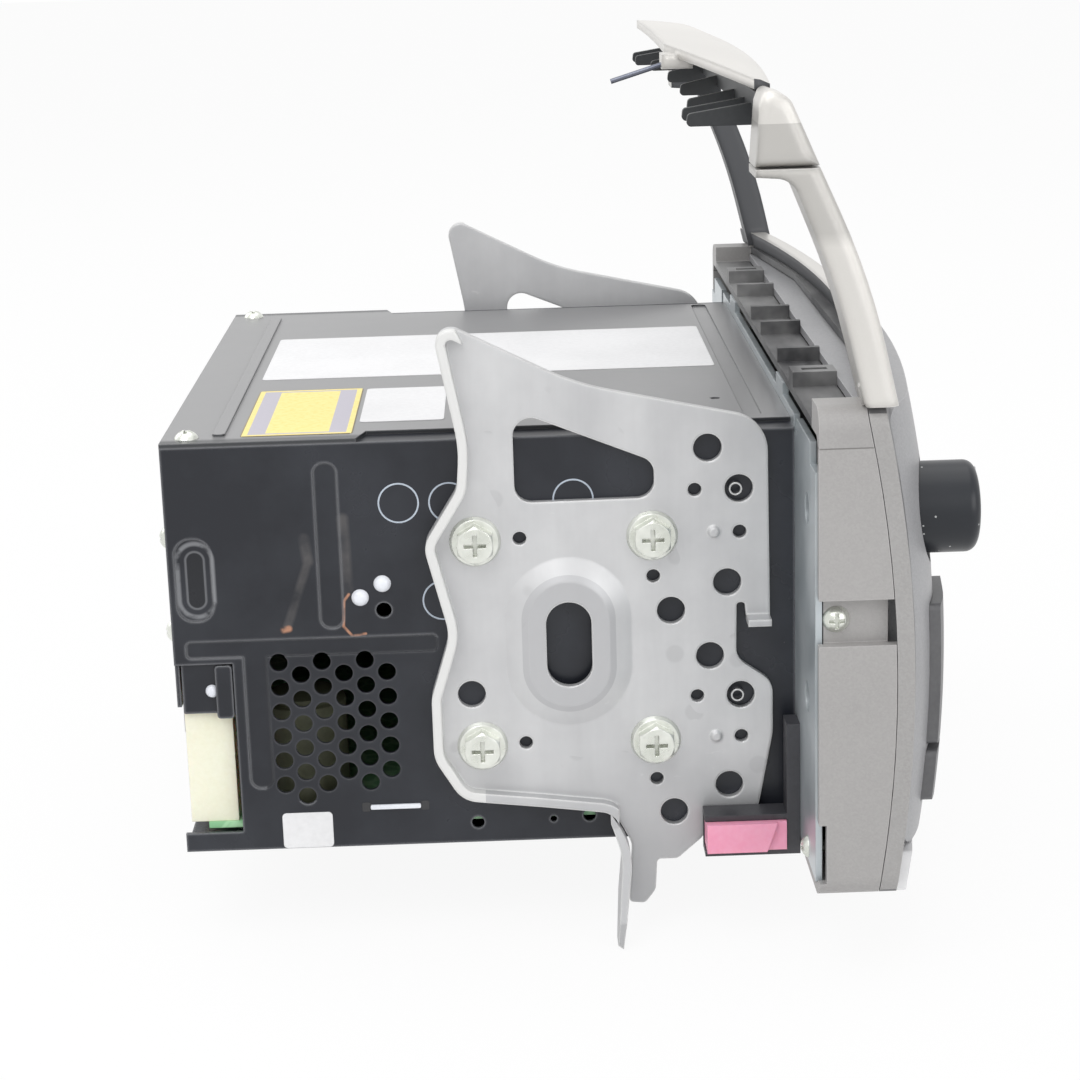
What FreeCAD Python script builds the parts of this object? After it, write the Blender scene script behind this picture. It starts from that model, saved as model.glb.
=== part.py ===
import FreeCAD, Part
import Sketcher
import math
import os
from types import SimpleNamespace

# Double-height car CD player with its dash fascia, vent surround and side brackets.
# Frame: X = 0 is the middle, Y = 0 the plane where the front plate meets the case (+Y goes into the
# dashboard), Z = 0 the middle of the case height, +Z up. The front faces -Y. Millimetres.

Vector = FreeCAD.Vector
Rotation = FreeCAD.Rotation
Placement = FreeCAD.Placement

SIZES = [
    # steel case
    ("case_width", 178.0, "outer width of the steel case"),
    ("case_height", 100.0, "outer height of the steel case"),
    ("case_depth", 146.0, "case depth behind the front plate"),
    ("steel", 1.0, "case sheet thickness"),
    ("top_flange", 8.0, "inward flange that carries the cover"),
    ("bead_width", 5.5, "width of the beads pressed into the case side"),
    ("bead_depth", 0.5, "depth of those beads"),
    ("seam_low", -1.8, "lower edge of the lengthwise bead"),
    ("seam_high", 2.4, "upper edge of the lengthwise bead"),
    ("stem_y", 127.0, "middle of the upright bead under it"),
    ("vent_radius", 2.1, "radius of a perforation"),
    ("vent_pitch_y", 5.06, "column pitch of the perforations"),
    ("vent_pitch_z", 6.08, "row pitch of the perforations"),
    ("vent_last_y", 121.5, "rearmost perforation column"),
    ("vent_top_z", -3.4, "top perforation row"),
    ("corner_cut_y", 132.3, "front edge of the opening in the lower rear corner"),
    ("corner_cut_top", -3.2, "top edge of that opening"),
    ("corner_cut_bottom", -45.4, "bottom edge of that opening"),
    ("stamp_y", 140.0, "middle of the oval stamping near the rear edge"),
    ("stamp_z", 17.3, "height of the oval stamping"),
    ("stamp_width", 8.6, "width of the oval stamping"),
    ("stamp_height", 20.0, "height of the oval stamping outline"),
    ("cover_step_y", 98.8, "where the cover steps in from the case side"),
    ("cover_screw_x", 83.5, "cover screws from the middle"),
    ("cover_screw_inset", 5.8, "cover screws from the rear edge"),
    # front plate
    ("plate_thick", 1.5, "zinc plate thickness"),
    ("plate_top", 55.0, "top edge of the plate"),
    ("plate_bottom", 47.5, "bottom edge of the plate below the middle"),
    # fascia
    ("fascia_width", 258.0, "outer width of the fascia"),
    ("fascia_top", 61.5, "top of the fascia"),
    ("fascia_bottom", 51.0, "bottom of the fascia below the middle"),
    ("fascia_wall", 2.5, "wall of the fascia housing"),
    ("fascia_rear", 0.5, "rear rim of the fascia in front of Y = 0"),
    ("fascia_corner", 5.0, "corner radius of the fascia outline"),
    ("top_recess", 4.5, "depth of the trough in the fascia top"),
    ("top_land", 12.0, "width of the land at each end of the trough"),
    ("web_front", 10.8, "front of the inner web in front of Y = 0"),
    ("web_thick", 1.8, "thickness of the inner web"),
    ("side_slot_low", 8.5, "lower edge of the side screw recess"),
    ("side_slot_high", 18.9, "upper edge of the side screw recess"),
    ("side_slot_depth", 3.2, "depth of the side screw recess"),
    # double curved front
    ("panel_front", 37.5, "furthest point of the control panel in front of Y = 0"),
    ("bow_radius", 730.0, "plan radius of the front"),
    ("crown_radius", 304.0, "side profile radius of the front"),
    ("crown_z", -2.4, "height of the furthest point"),
    ("round_inset", 29.0, "start of the tighter end rounding, from the fascia's side"),
    ("round_radius", 57.0, "plan radius of that rounding"),
    ("bezel_setback", 4.3, "bezel surface behind the panel surface"),
    ("bezel_depth", 3.9, "depth of the bezel between its surface and the seam"),
    ("panel_wall", 2.2, "wall of the control panel"),
    ("panel_rim", 7.5, "rim between the fascia's side and the control panel"),
    ("panel_top", 59.3, "top of the control panel"),
    ("panel_bottom", 43.0, "bottom of the control panel below the middle"),
    ("panel_corner", 7.0, "corner radius of the control panel"),
    ("panel_gap", 1.5, "shadow gap between panel and bezel at the sides"),
    ("fit_gap", 0.3, "gap round buttons and loose fits"),
    ("lens_setback", 0.3, "display lens behind the panel surface"),
    ("strip_drop", 52.7, "lower edge of the clear strip below the middle"),
    ("strip_setback", 1.9, "clear strip surface behind the panel surface"),
    # controls
    ("knob_inset", 29.0, "knob centres from the fascia's side"),
    ("knob_z", 32.0, "knob centre height"),
    ("knob_radius", 10.5, "knob radius"),
    ("knob_front", 39.6, "knob face in front of Y = 0"),
    ("knob_back", 24.7, "knob rear edge in front of Y = 0"),
    ("knob_round", 2.6, "rounding of the knob's front edge"),
    ("well_radius", 12.7, "well in the panel round a knob"),
    ("well_floor", 23.4, "floor of the well in front of Y = 0"),
    ("shaft_radius", 3.0, "encoder shaft radius"),
    ("running_gap", 0.05, "radial clearance of running fits"),
    ("press_travel", 1.0, "travel of the push switch under the volume knob"),
    ("button_travel", 0.8, "travel of a button"),
    ("button_proud", 2.4, "button face in front of the panel surface"),
    ("side_button_inset", 18.0, "outer edge of the side buttons from the fascia's side"),
    ("side_button_width", 25.0, "width of the side buttons"),
    ("side_button_top", 11.9, "top of the upper side button"),
    ("side_button_split", 22.2, "split between the side buttons below the middle"),
    ("side_button_end", 35.2, "bottom of the lower side button below the middle"),
    ("preset_pitch", 21.4, "pitch of the preset buttons"),
    ("preset_width", 20.0, "width of a preset button"),
    ("preset_z", -23.0, "height of the preset buttons' middle"),
    ("preset_height", 11.5, "height of a preset button"),
    ("eject_share", 0.73, "part of the room between disc guide and knob well that the eject button takes"),
    ("eject_height", 7.0, "height of the eject button"),
    ("display_half", 64.0, "half width of the display window"),
    ("display_low", -10.0, "lower edge of the display window"),
    ("display_high", 28.0, "upper edge of the display window"),
    ("board_thick", 1.6, "thickness of the circuit boards"),
    ("stud_height", 4.1, "height of the studs under the main board"),
    ("switch_height", 5.0, "height of a push switch"),
    # disc path
    ("slot_drop", 7.6, "upper edge of the disc slot below the case top"),
    ("slot_opening", 5.0, "height of the disc slot"),
    ("slot_half", 63.5, "half width of the disc slot"),
    ("disc_drop", 12.1, "seat of a disc on the turntable below the case top"),
    ("disc_y", 72.0, "spindle position behind Y = 0"),
    ("roller_y", 9.0, "loading roller behind Y = 0"),
    ("roller_drop", 17.6, "loading roller axis below the case top"),
    ("roller_radius", 5.0, "loading roller radius at its ends"),
    ("roller_waist", 4.3, "loading roller radius in the middle"),
    ("gear_module", 0.6, "module of the loading gears"),
    ("gear_teeth", 20, "teeth of the roller gear"),
    ("pinion_teeth", 14, "teeth of the motor pinion"),
    ("gear_width", 3.0, "face width of the loading gears"),
    # deck
    ("deck_half", 76.0, "half width of the deck frame"),
    ("deck_sheet", 1.2, "deck sheet thickness"),
    ("deck_drop", 24.4, "underside of the deck frame below the case top"),
    ("shelf_drop", 38.0, "underside of the shelf below the case top"),
    ("rail_radius", 1.5, "radius of the sled rails and the lead screw"),
    ("rail_offset", 18.0, "rails from the spindle along Y"),
    ("rail_drop", 19.7, "rails below the case top"),
    ("screw_offset", 28.0, "lead screw from the spindle along Y"),
    ("sled_start", 16.5, "inner edge of the sled at rest"),
    ("sled_width", 18.0, "width of the sled"),
    ("sled_travel", 33.0, "travel of the pickup"),
    ("hub_radius", 7.4, "centring hub of the turntable"),
    ("clamp_drop", 5.0, "axis of the clamp arm below the case top"),
    ("clamp_back", 58.0, "clamp arm axis behind the spindle"),
    # brackets
    ("bracket_thick", 2.0, "bracket sheet thickness"),
    ("bolt_y", 33.3, "front bolt row behind Y = 0"),
    ("bolt_pitch_y", 41.0, "bolt spacing along Y"),
    ("unit_pitch", 50.0, "height of one unit, the vertical pitch of all bracket holes"),
    ("bolt_radius", 2.5, "bolt shank radius"),
    ("bolt_flange", 6.0, "bolt flange radius"),
    ("big_hole", 3.3, "radius of the bracket's large holes"),
    ("small_hole", 1.6, "radius of the bracket's small holes"),
    ("dish_width", 29.6, "outer width of the pressed oval"),
    ("dish_height", 41.0, "outer height of the pressed oval"),
    ("dish_rise", 2.4, "rise of the pressed oval"),
    ("dish_slope", 5.4, "width of its slope"),
    ("dish_slot_width", 10.6, "width of the slot in the oval"),
    ("dish_slot_height", 20.6, "height of the slot in the oval"),
    ("leg_reach", 13.0, "how far the leg blade stands out"),
    ("leg_tip", 72.5, "tip of the leg blade below the middle"),
    # clips
    ("clip_top", 41.9, "top of the clip bracket below the middle"),
    ("clip_bottom", 52.0, "bottom of the clip bracket below the middle"),
    ("clip_inner", 91.5, "inner face of the clip bracket"),
    ("clip_outer", 98.5, "outer face of the clip bracket"),
    ("clip_length", 22.5, "length of the clip"),
    ("clip_shell", 1.4, "wall of the clip bracket"),
    # vent surround
    ("arm_width", 14.0, "width of a surround arm"),
    ("bar_height", 4.5, "height of the lower bar"),
    ("arm_joint_z", 112.6, "joint between arm and upper trim"),
    ("arm_joint_gap", 0.4, "gap at that joint"),
    ("lid_thick", 2.2, "thickness of the lid"),
    ("lid_crown", 3.0, "rise of the lid in the middle"),
    ("lid_rear_half", 55.0, "half width of the lid's rear edge"),
    ("lid_rear_y", 26.2, "rear edge of the lid"),
    ("rib_thick", 1.8, "thickness of the blades under the lid"),
    ("rib_low", 119.7, "lower edge of those blades"),
    ("pin_radius", 0.6, "radius of the locating pin"),
]

doc = FreeCAD.newDocument("car_cd_player")
dims = doc.addObject("Spreadsheet::Sheet", "Dims")
for row, (name, number, note) in enumerate(SIZES, start=1):
    dims.set(f"A{row}", name)
    dims.set(f"B{row}", str(number))
    dims.set(f"C{row}", note)
    dims.setAlias(f"B{row}", name)
doc.recompute()


class Size:
    """A number together with the sheet expression that gives it."""

    def __init__(self, text, number):
        self.text = text
        self.number = number

    def __add__(self, other):
        return combined(self, "+", other, number_of(self) + number_of(other))

    def __radd__(self, other):
        return combined(other, "+", self, number_of(other) + number_of(self))

    def __sub__(self, other):
        return combined(self, "-", other, number_of(self) - number_of(other))

    def __rsub__(self, other):
        return combined(other, "-", self, number_of(other) - number_of(self))

    def __mul__(self, other):
        return combined(self, "*", other, number_of(self) * number_of(other))

    def __rmul__(self, other):
        return combined(other, "*", self, number_of(other) * number_of(self))

    def __truediv__(self, other):
        return combined(self, "/", other, number_of(self) / number_of(other))

    def __neg__(self):
        return Size(f"(-1 * {self.text})", -self.number)


def number_of(size):
    return size.number if isinstance(size, Size) else float(size)


def text_of(size):
    return size.text if isinstance(size, Size) else repr(float(size))


def combined(left, sign, right, number):
    return Size(f"({text_of(left)} {sign} {text_of(right)})", number)


def root(size):
    return Size(f"sqrt({text_of(size)})", math.sqrt(number_of(size)))


def arc_sine(size):
    """Angle in degrees."""
    return Size(f"asin({text_of(size)})", math.degrees(math.asin(number_of(size))))


d = SimpleNamespace(**{name: Size(f"Dims.{name}", float(getattr(dims, name))) for name, _, _ in SIZES})

half_case = d.case_width / 2
half_height = d.case_height / 2
half_fascia = d.fascia_width / 2
inside = half_case - d.steel

# Places that follow the fascia's width or the case top

d.panel_half = half_fascia - d.panel_rim
d.round_start = half_fascia - d.round_inset
d.knob_x = half_fascia - d.knob_inset
d.side_button_out = half_fascia - d.side_button_inset
d.side_button_in = d.side_button_out - d.side_button_width
d.slot_high = half_height - d.slot_drop
d.slot_low = d.slot_high - d.slot_opening
d.disc_z = half_height - d.disc_drop
d.roller_z = half_height - d.roller_drop
d.deck_z = half_height - d.deck_drop
d.shelf_z = half_height - d.shelf_drop
d.rail_z = half_height - d.rail_drop
d.clamp_z = half_height - d.clamp_drop

nodes = []
counter = {"made": 0}


def new_name(word):
    counter["made"] += 1
    return f"{word}_{counter['made']}"


def node(part, label):
    part.Label = label
    nodes.append(part)
    return part


def bind(thing, prop, size):
    if isinstance(size, Size):
        thing.setExpression(prop, size.text)
    else:
        thing.setExpression(prop, repr(float(size)))


# Primitive solids, their sizes and places bound to the sheet

def place(part, x, y, z, rotation=Rotation()):
    part.Placement = Placement(Vector(number_of(x), number_of(y), number_of(z)), rotation)
    bind(part, "Placement.Base.x", x)
    bind(part, "Placement.Base.y", y)
    bind(part, "Placement.Base.z", z)


def box(x, y, z):
    """Box between two bounds on each axis."""
    part = doc.addObject("Part::Box", new_name("Box"))
    bind(part, "Length", x[1] - x[0])
    bind(part, "Width", y[1] - y[0])
    bind(part, "Height", z[1] - z[0])
    place(part, x[0], y[0], z[0])
    return part


TURNS = {
    "x": Rotation(Vector(0, 1, 0), 90),
    "y": Rotation(Vector(1, 0, 0), -90),
    "z": Rotation(),
}


def on_axis(part, axis, centre, start):
    """Stand a part that grows along Z on another axis: centre holds the two other coordinates."""
    low = {"x": (start, *centre), "y": (centre[0], start, centre[1]), "z": (*centre, start)}[axis]
    place(part, *low, TURNS[axis])


def rod(axis, centre, radius, span):
    part = doc.addObject("Part::Cylinder", new_name("Rod"))
    bind(part, "Radius", radius)
    bind(part, "Height", span[1] - span[0])
    on_axis(part, axis, centre, span[0])
    return part


def cone(axis, centre, radius_start, radius_end, span):
    part = doc.addObject("Part::Cone", new_name("Cone"))
    bind(part, "Radius1", radius_start)
    bind(part, "Radius2", radius_end)
    bind(part, "Height", span[1] - span[0])
    on_axis(part, axis, centre, span[0])
    return part


def fuse(*parts):
    whole = doc.addObject("Part::MultiFuse", new_name("Fuse"))
    whole.Shapes = list(parts)
    return whole


def group(*parts):
    whole = doc.addObject("Part::Compound", new_name("Group"))
    whole.Links = list(parts)
    return whole


def cut(base, *tools):
    whole = doc.addObject("Part::Cut", new_name("Cut"))
    whole.Base = base
    whole.Tool = tools[0] if len(tools) == 1 else fuse(*tools)
    return whole


def mirrored(part):
    twin = doc.addObject("Part::Mirroring", new_name("Mirror"))
    twin.Source = part
    twin.Normal = Vector(1, 0, 0)
    return twin


def made(shape, label_word="Made"):
    """Solid made in code where neither primitives nor a body suit it."""
    part = doc.addObject("Part::Feature", new_name(label_word))
    part.Shape = shape
    return part


# Bodies made of sketches

def new_body():
    return doc.addObject("PartDesign::Body", new_name("Body"))


def new_sketch(body, plane, offset=0):
    """Sketch on an origin plane: XZ_Plane looks along -Y, YZ_Plane along +X, XY_Plane along +Z."""
    sketch = body.newObject("Sketcher::SketchObject", new_name("Sketch"))
    sketch.AttachmentSupport = [(feature, "") for feature in body.Origin.OriginFeatures if feature.Role == plane]
    sketch.MapMode = "FlatFace"
    bind(sketch, "AttachmentOffset.Base.z", offset)
    return sketch


waiting = []


def constrain(kind, *where):
    """Note one constraint for the sketch in hand. A Size at the end gets bound to the sheet."""
    waiting.append((kind, where))


def settle(sketch):
    """Add the noted constraints together, so that the sketch is solved only once."""
    first = sketch.ConstraintCount
    plain = []
    for kind, where in waiting:
        refs = [number_of(ref) if isinstance(ref, Size) else ref for ref in where]
        plain.append(Sketcher.Constraint(kind, *refs))
    sketch.addConstraint(plain)
    for index, (_, where) in enumerate(waiting, start=first):
        if isinstance(where[-1], Size):
            sketch.setExpression(f"Constraints[{index}]", where[-1].text)
    waiting.clear()


def pin_point(geometry, end, u, v):
    """Tie one point of a sketch element to its two coordinates."""
    for kind, size in (("DistanceX", u), ("DistanceY", v)):
        constrain(kind, -1, 1, geometry, end, size if isinstance(size, Size) else float(size))


def polygon(sketch, corners):
    points = [Vector(number_of(u), number_of(v), 0) for u, v in corners]
    first = sketch.GeometryCount
    count = len(points)
    for index in range(count):
        sketch.addGeometry(Part.LineSegment(points[index], points[(index + 1) % count]), False)
    for index in range(count):
        following = first + (index + 1) % count
        constrain("Coincident", first + index, 2, following, 1)
        pin_point(first + index, 1, *corners[index])


def rectangle(sketch, u, v):
    polygon(sketch, [(u[0], v[0]), (u[1], v[0]), (u[1], v[1]), (u[0], v[1])])


def rounded_rectangle(sketch, u, v, radius):
    """Rectangle with four equal corner arcs."""
    reach = number_of(radius)
    quarter = math.pi / 2
    corners = [(u[0], v[0], 1, 1), (u[1], v[0], -1, 1), (u[1], v[1], -1, -1), (u[0], v[1], 1, -1)]
    arcs = []
    for turn, (cu, cv, su, sv) in enumerate(corners):
        centre = (cu + su * radius, cv + sv * radius)
        circle = Part.Circle(Vector(number_of(centre[0]), number_of(centre[1]), 0), Vector(0, 0, 1), reach)
        start = quarter * (turn + 2)
        arc = sketch.addGeometry(Part.ArcOfCircle(circle, start, start + quarter), False)
        arcs.append(arc)
        pin_point(arc, 3, *centre)
        constrain("Radius", arc, radius)
        first_kind, last_kind = ("Horizontal", "Vertical") if turn % 2 == 0 else ("Vertical", "Horizontal")
        constrain(first_kind, arc, 1, arc, 3)
        constrain(last_kind, arc, 2, arc, 3)
    for turn in range(4):
        start, end = arcs[turn], arcs[(turn + 1) % 4]
        geometry = sketch.Geometry
        line = sketch.addGeometry(Part.LineSegment(geometry[start].EndPoint, geometry[end].StartPoint), False)
        constrain("Coincident", start, 2, line, 1)
        constrain("Coincident", line, 2, end, 1)


def circle(sketch, u, v, radius):
    centre = Vector(number_of(u), number_of(v), 0)
    index = sketch.addGeometry(Part.Circle(centre, Vector(0, 0, 1), number_of(radius)), False)
    pin_point(index, 3, u, v)
    constrain("Radius", index, radius)


def pad(body, sketch, length, reverse=False):
    settle(sketch)
    feature = body.newObject("PartDesign::Pad", new_name("Pad"))
    feature.Profile = sketch
    bind(feature, "Length", length)
    feature.Reversed = reverse
    return feature


def pocket(body, sketch, length, reverse=False):
    """Cut along the sketch's back side, or along its front side when reversed."""
    settle(sketch)
    feature = body.newObject("PartDesign::Pocket", new_name("Pocket"))
    feature.Profile = sketch
    bind(feature, "Length", length)
    feature.Reversed = reverse
    return feature


# The double curved front: arcs of one side profile turned about one upright axis far behind

bow_axis_y = d.bow_radius - d.panel_front
crown_centre_y = d.crown_radius - d.panel_front
WORK_REACH = 60.0


def bow_cut(body, setback, low, high, behind, half_turn=14.0):
    """Remove what lies in front of (or behind) the surface that is setback behind the panel's."""
    sketch = new_sketch(body, "YZ_Plane")
    radius = d.crown_radius - setback
    far_y = 5.0 if behind else -WORK_REACH - 20

    def surface_y(z):
        return crown_centre_y - root(radius * radius - (z - d.crown_z) * (z - d.crown_z))

    ends = [(surface_y(low), low), (surface_y(high), high)]
    centre = Vector(number_of(crown_centre_y), number_of(d.crown_z), 0)
    angles = [math.atan2(number_of(z) - centre.y, number_of(y) - centre.x) % (2 * math.pi) for y, z in ends]
    whole = Part.Circle(centre, Vector(0, 0, 1), number_of(radius))
    arc = sketch.addGeometry(Part.ArcOfCircle(whole, angles[1], angles[0]), False)
    low_point = Vector(number_of(ends[0][0]), number_of(low), 0)
    high_point = Vector(number_of(ends[1][0]), number_of(high), 0)
    far_low = Vector(far_y, number_of(low), 0)
    far_high = Vector(far_y, number_of(high), 0)
    bottom = sketch.addGeometry(Part.LineSegment(low_point, far_low), False)
    front = sketch.addGeometry(Part.LineSegment(far_low, far_high), False)
    top = sketch.addGeometry(Part.LineSegment(far_high, high_point), False)
    axis_low = Vector(number_of(bow_axis_y), -10, 0)
    axis_high = Vector(number_of(bow_axis_y), 10, 0)
    axis = sketch.addGeometry(Part.LineSegment(axis_low, axis_high), True)
    pin_point(arc, 3, crown_centre_y, d.crown_z)
    constrain("Radius", arc, radius)
    constrain("Coincident", arc, 2, bottom, 1)
    constrain("Coincident", bottom, 2, front, 1)
    constrain("Coincident", front, 2, top, 1)
    constrain("Coincident", top, 2, arc, 1)
    constrain("Horizontal", bottom)
    constrain("Horizontal", top)
    pin_point(front, 1, far_y, low)
    pin_point(front, 2, far_y, high)
    pin_point(axis, 1, bow_axis_y, -10.0)
    pin_point(axis, 2, bow_axis_y, 10.0)
    settle(sketch)
    feature = body.newObject("PartDesign::Groove", new_name("Groove"))
    feature.Profile = sketch
    feature.ReferenceAxis = (sketch, ["Axis0"])
    feature.Midplane = True
    bind(feature, "Angle", half_turn * 2)
    return feature


BELOW_ALL = -70.0
ABOVE_ALL = 80.0


def surface_y(setback, x, z):
    """Y at (x, z) on the surface that is setback behind the panel's."""
    radius = d.crown_radius - setback
    middle_y = crown_centre_y - root(radius * radius - (z - d.crown_z) * (z - d.crown_z))
    reach = bow_axis_y - middle_y
    return bow_axis_y - root(reach * reach - x * x)


def bowed_piece(u, v, back, setback, corner):
    """Body that fills a rounded rectangle in front view, from a flat back to the curved front."""
    body = new_body()
    outline = new_sketch(body, "XZ_Plane", back)
    rounded_rectangle(outline, u, v, corner)
    pad(body, outline, WORK_REACH - back)
    bow_cut(body, setback, BELOW_ALL, ABOVE_ALL, behind=False)
    return body


def front_window(body, u, v, back, corner):
    """Rounded opening cut from a plane behind the front right through the front."""
    outline = new_sketch(body, "XZ_Plane", back)
    rounded_rectangle(outline, u, v, corner)
    pocket(body, outline, WORK_REACH - back, reverse=True)


def end_rounding(setback):
    """Solid outside the tighter curve at the right end of the panel, tangent to the bowed surface."""
    start_x = number_of(d.round_start)
    bow = number_of(d.bow_radius)
    tight = number_of(d.round_radius)
    front = number_of(d.panel_front)
    tilt = math.asin(start_x / bow)
    centre_x = start_x - tight * math.sin(tilt)
    centre_y = number_of(bow_axis_y) - (bow - tight) * math.cos(tilt)
    shift = centre_y - tight + front
    radius = number_of(d.crown_radius) - setback
    crown = Vector(centre_x, number_of(crown_centre_y) + shift, number_of(d.crown_z))
    far_y = shift - front - WORK_REACH

    def on_crown(z):
        return Vector(centre_x, crown.y - math.sqrt(radius ** 2 - (z - crown.z) ** 2), z)

    low, high = on_crown(BELOW_ALL), on_crown(ABOVE_ALL)
    far_low = Vector(centre_x, far_y, BELOW_ALL)
    far_high = Vector(centre_x, far_y, ABOVE_ALL)
    outline = Part.Wire([
        Part.Arc(low, on_crown(crown.z), high).toShape(),
        Part.LineSegment(high, far_high).toShape(),
        Part.LineSegment(far_high, far_low).toShape(),
        Part.LineSegment(far_low, low).toShape()])
    face = Part.Face(outline)
    axis_point = Vector(centre_x, centre_y, 0)
    face.rotate(axis_point, Vector(0, 0, 1), math.degrees(tilt))
    return made(face.revolve(axis_point, Vector(0, 0, 1), 60), "Rounding")


def mirrored_pair(low, high):
    return ((low, high), (-high, -low))


# Flat outlines with rounded corners, for pressed and moulded profiles

def rounded_outline(corners, x):
    """Closed wire in the plane X = x through corners (y, z, radius)."""
    points = [Vector(x, y, z) for y, z, _ in corners]
    pieces = []
    count = len(points)
    starts, ends, middles = [], [], []
    for index, (_, _, radius) in enumerate(corners):
        here = points[index]
        before = (points[index - 1] - here).normalize()
        after = (points[(index + 1) % count] - here).normalize()
        half_angle = before.getAngle(after) / 2
        reach = radius / math.tan(half_angle)
        starts.append(here + before * reach)
        ends.append(here + after * reach)
        bisector = (before + after).normalize()
        middles.append(here + bisector * (radius / math.sin(half_angle) - radius))
    for index, (_, _, radius) in enumerate(corners):
        if radius > 0:
            pieces.append(Part.Arc(starts[index], middles[index], ends[index]).toShape())
        following = starts[(index + 1) % count]
        if (following - ends[index]).Length > 1e-6:
            pieces.append(Part.LineSegment(ends[index], following).toShape())
    return Part.Wire(pieces)


def plate_of(corners, x, thickness):
    """Plate with a rounded outline, grown from X = x towards -X."""
    return Part.Face(rounded_outline(corners, x)).extrude(Vector(-thickness, 0, 0))


def oval(width, height, y, z, x):
    """Closed wire of a stadium that stands upright in the plane X = x."""
    corner = (width / 2) * 0.999
    corners = [(y - width / 2, z - height / 2, corner), (y + width / 2, z - height / 2, corner),
               (y + width / 2, z + height / 2, corner), (y - width / 2, z + height / 2, corner)]
    return rounded_outline(corners, x)


# Screws and bolts with a cross recess

def cross_recess(axis_place, width, length, depth):
    blade = Part.makeBox(length, width, depth, Vector(-length / 2, -width / 2, 0))
    other = blade.copy()
    other.rotate(Vector(0, 0, 0), Vector(0, 0, 1), 90)
    recess = blade.fuse(other)
    recess.translate(Vector(0, 0, axis_place - depth))
    return recess


def pan_screw(head_radius, head_height, shank_radius, shank_length):
    """Pan head screw that stands along +Z, its seat at Z = 0."""
    ball_radius = (head_radius ** 2 + head_height ** 2) / (2 * head_height)
    head = Part.makeCylinder(head_radius, head_height)
    ball = Part.makeSphere(ball_radius, Vector(0, 0, head_height - ball_radius))
    head = head.common(ball)
    head = head.cut(cross_recess(head_height, 0.9, head_radius * 1.15, head_height * 0.6))
    shank = Part.makeCylinder(shank_radius, shank_length, Vector(0, 0, -shank_length))
    return head.fuse(shank).removeSplitter()


def flange_bolt(flange_radius, shank_radius, shank_length):
    """Hexagon flange bolt with a cross recess that stands along +Z, its seat at Z = 0."""
    flange_height = flange_radius * 0.2
    hex_top = flange_radius * 0.75
    across = flange_radius * 0.78
    corners = [Vector(across * math.cos(math.radians(60 * i)), across * math.sin(math.radians(60 * i)), 0)
               for i in range(6)]
    head = Part.Face(Part.makePolygon(corners + corners[:1])).extrude(Vector(0, 0, hex_top))
    bevel = Part.makeCone(across + hex_top * 0.9, across * 0.86, hex_top)
    head = head.common(bevel)
    flange = Part.makeCone(flange_radius, flange_radius * 0.9, flange_height)
    shank = Part.makeCylinder(shank_radius, shank_length, Vector(0, 0, -shank_length))
    bolt = head.fuse([flange, shank])
    return bolt.cut(cross_recess(hex_top, 1.0, across * 1.1, hex_top * 0.5)).removeSplitter()


def set_down(shape, x, y, z, towards):
    """Copy of a shape that stood along +Z, now standing along the given direction."""
    copy = shape.copy()
    turn = Rotation(Vector(0, 0, 1), Vector(*towards))
    copy.Placement = Placement(Vector(x, y, z), turn)
    return copy


# Steel case

screw_hole = 1.55
side_holes = ((96.2, 8.7, 1.8), (76.1, -45.0, 1.5), (58.0, -44.8, 0.8), (49.4, -44.2, 1.5))
front_bead_y = 108.4
front_bead_span = (4.6, 44.4)
long_bead_span = (84.0, 143.0)
stem_low = -34.6
stud_radius = 3.0
stud_inset = 12.0
stud_rows = (20.0, 100.0)


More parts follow.
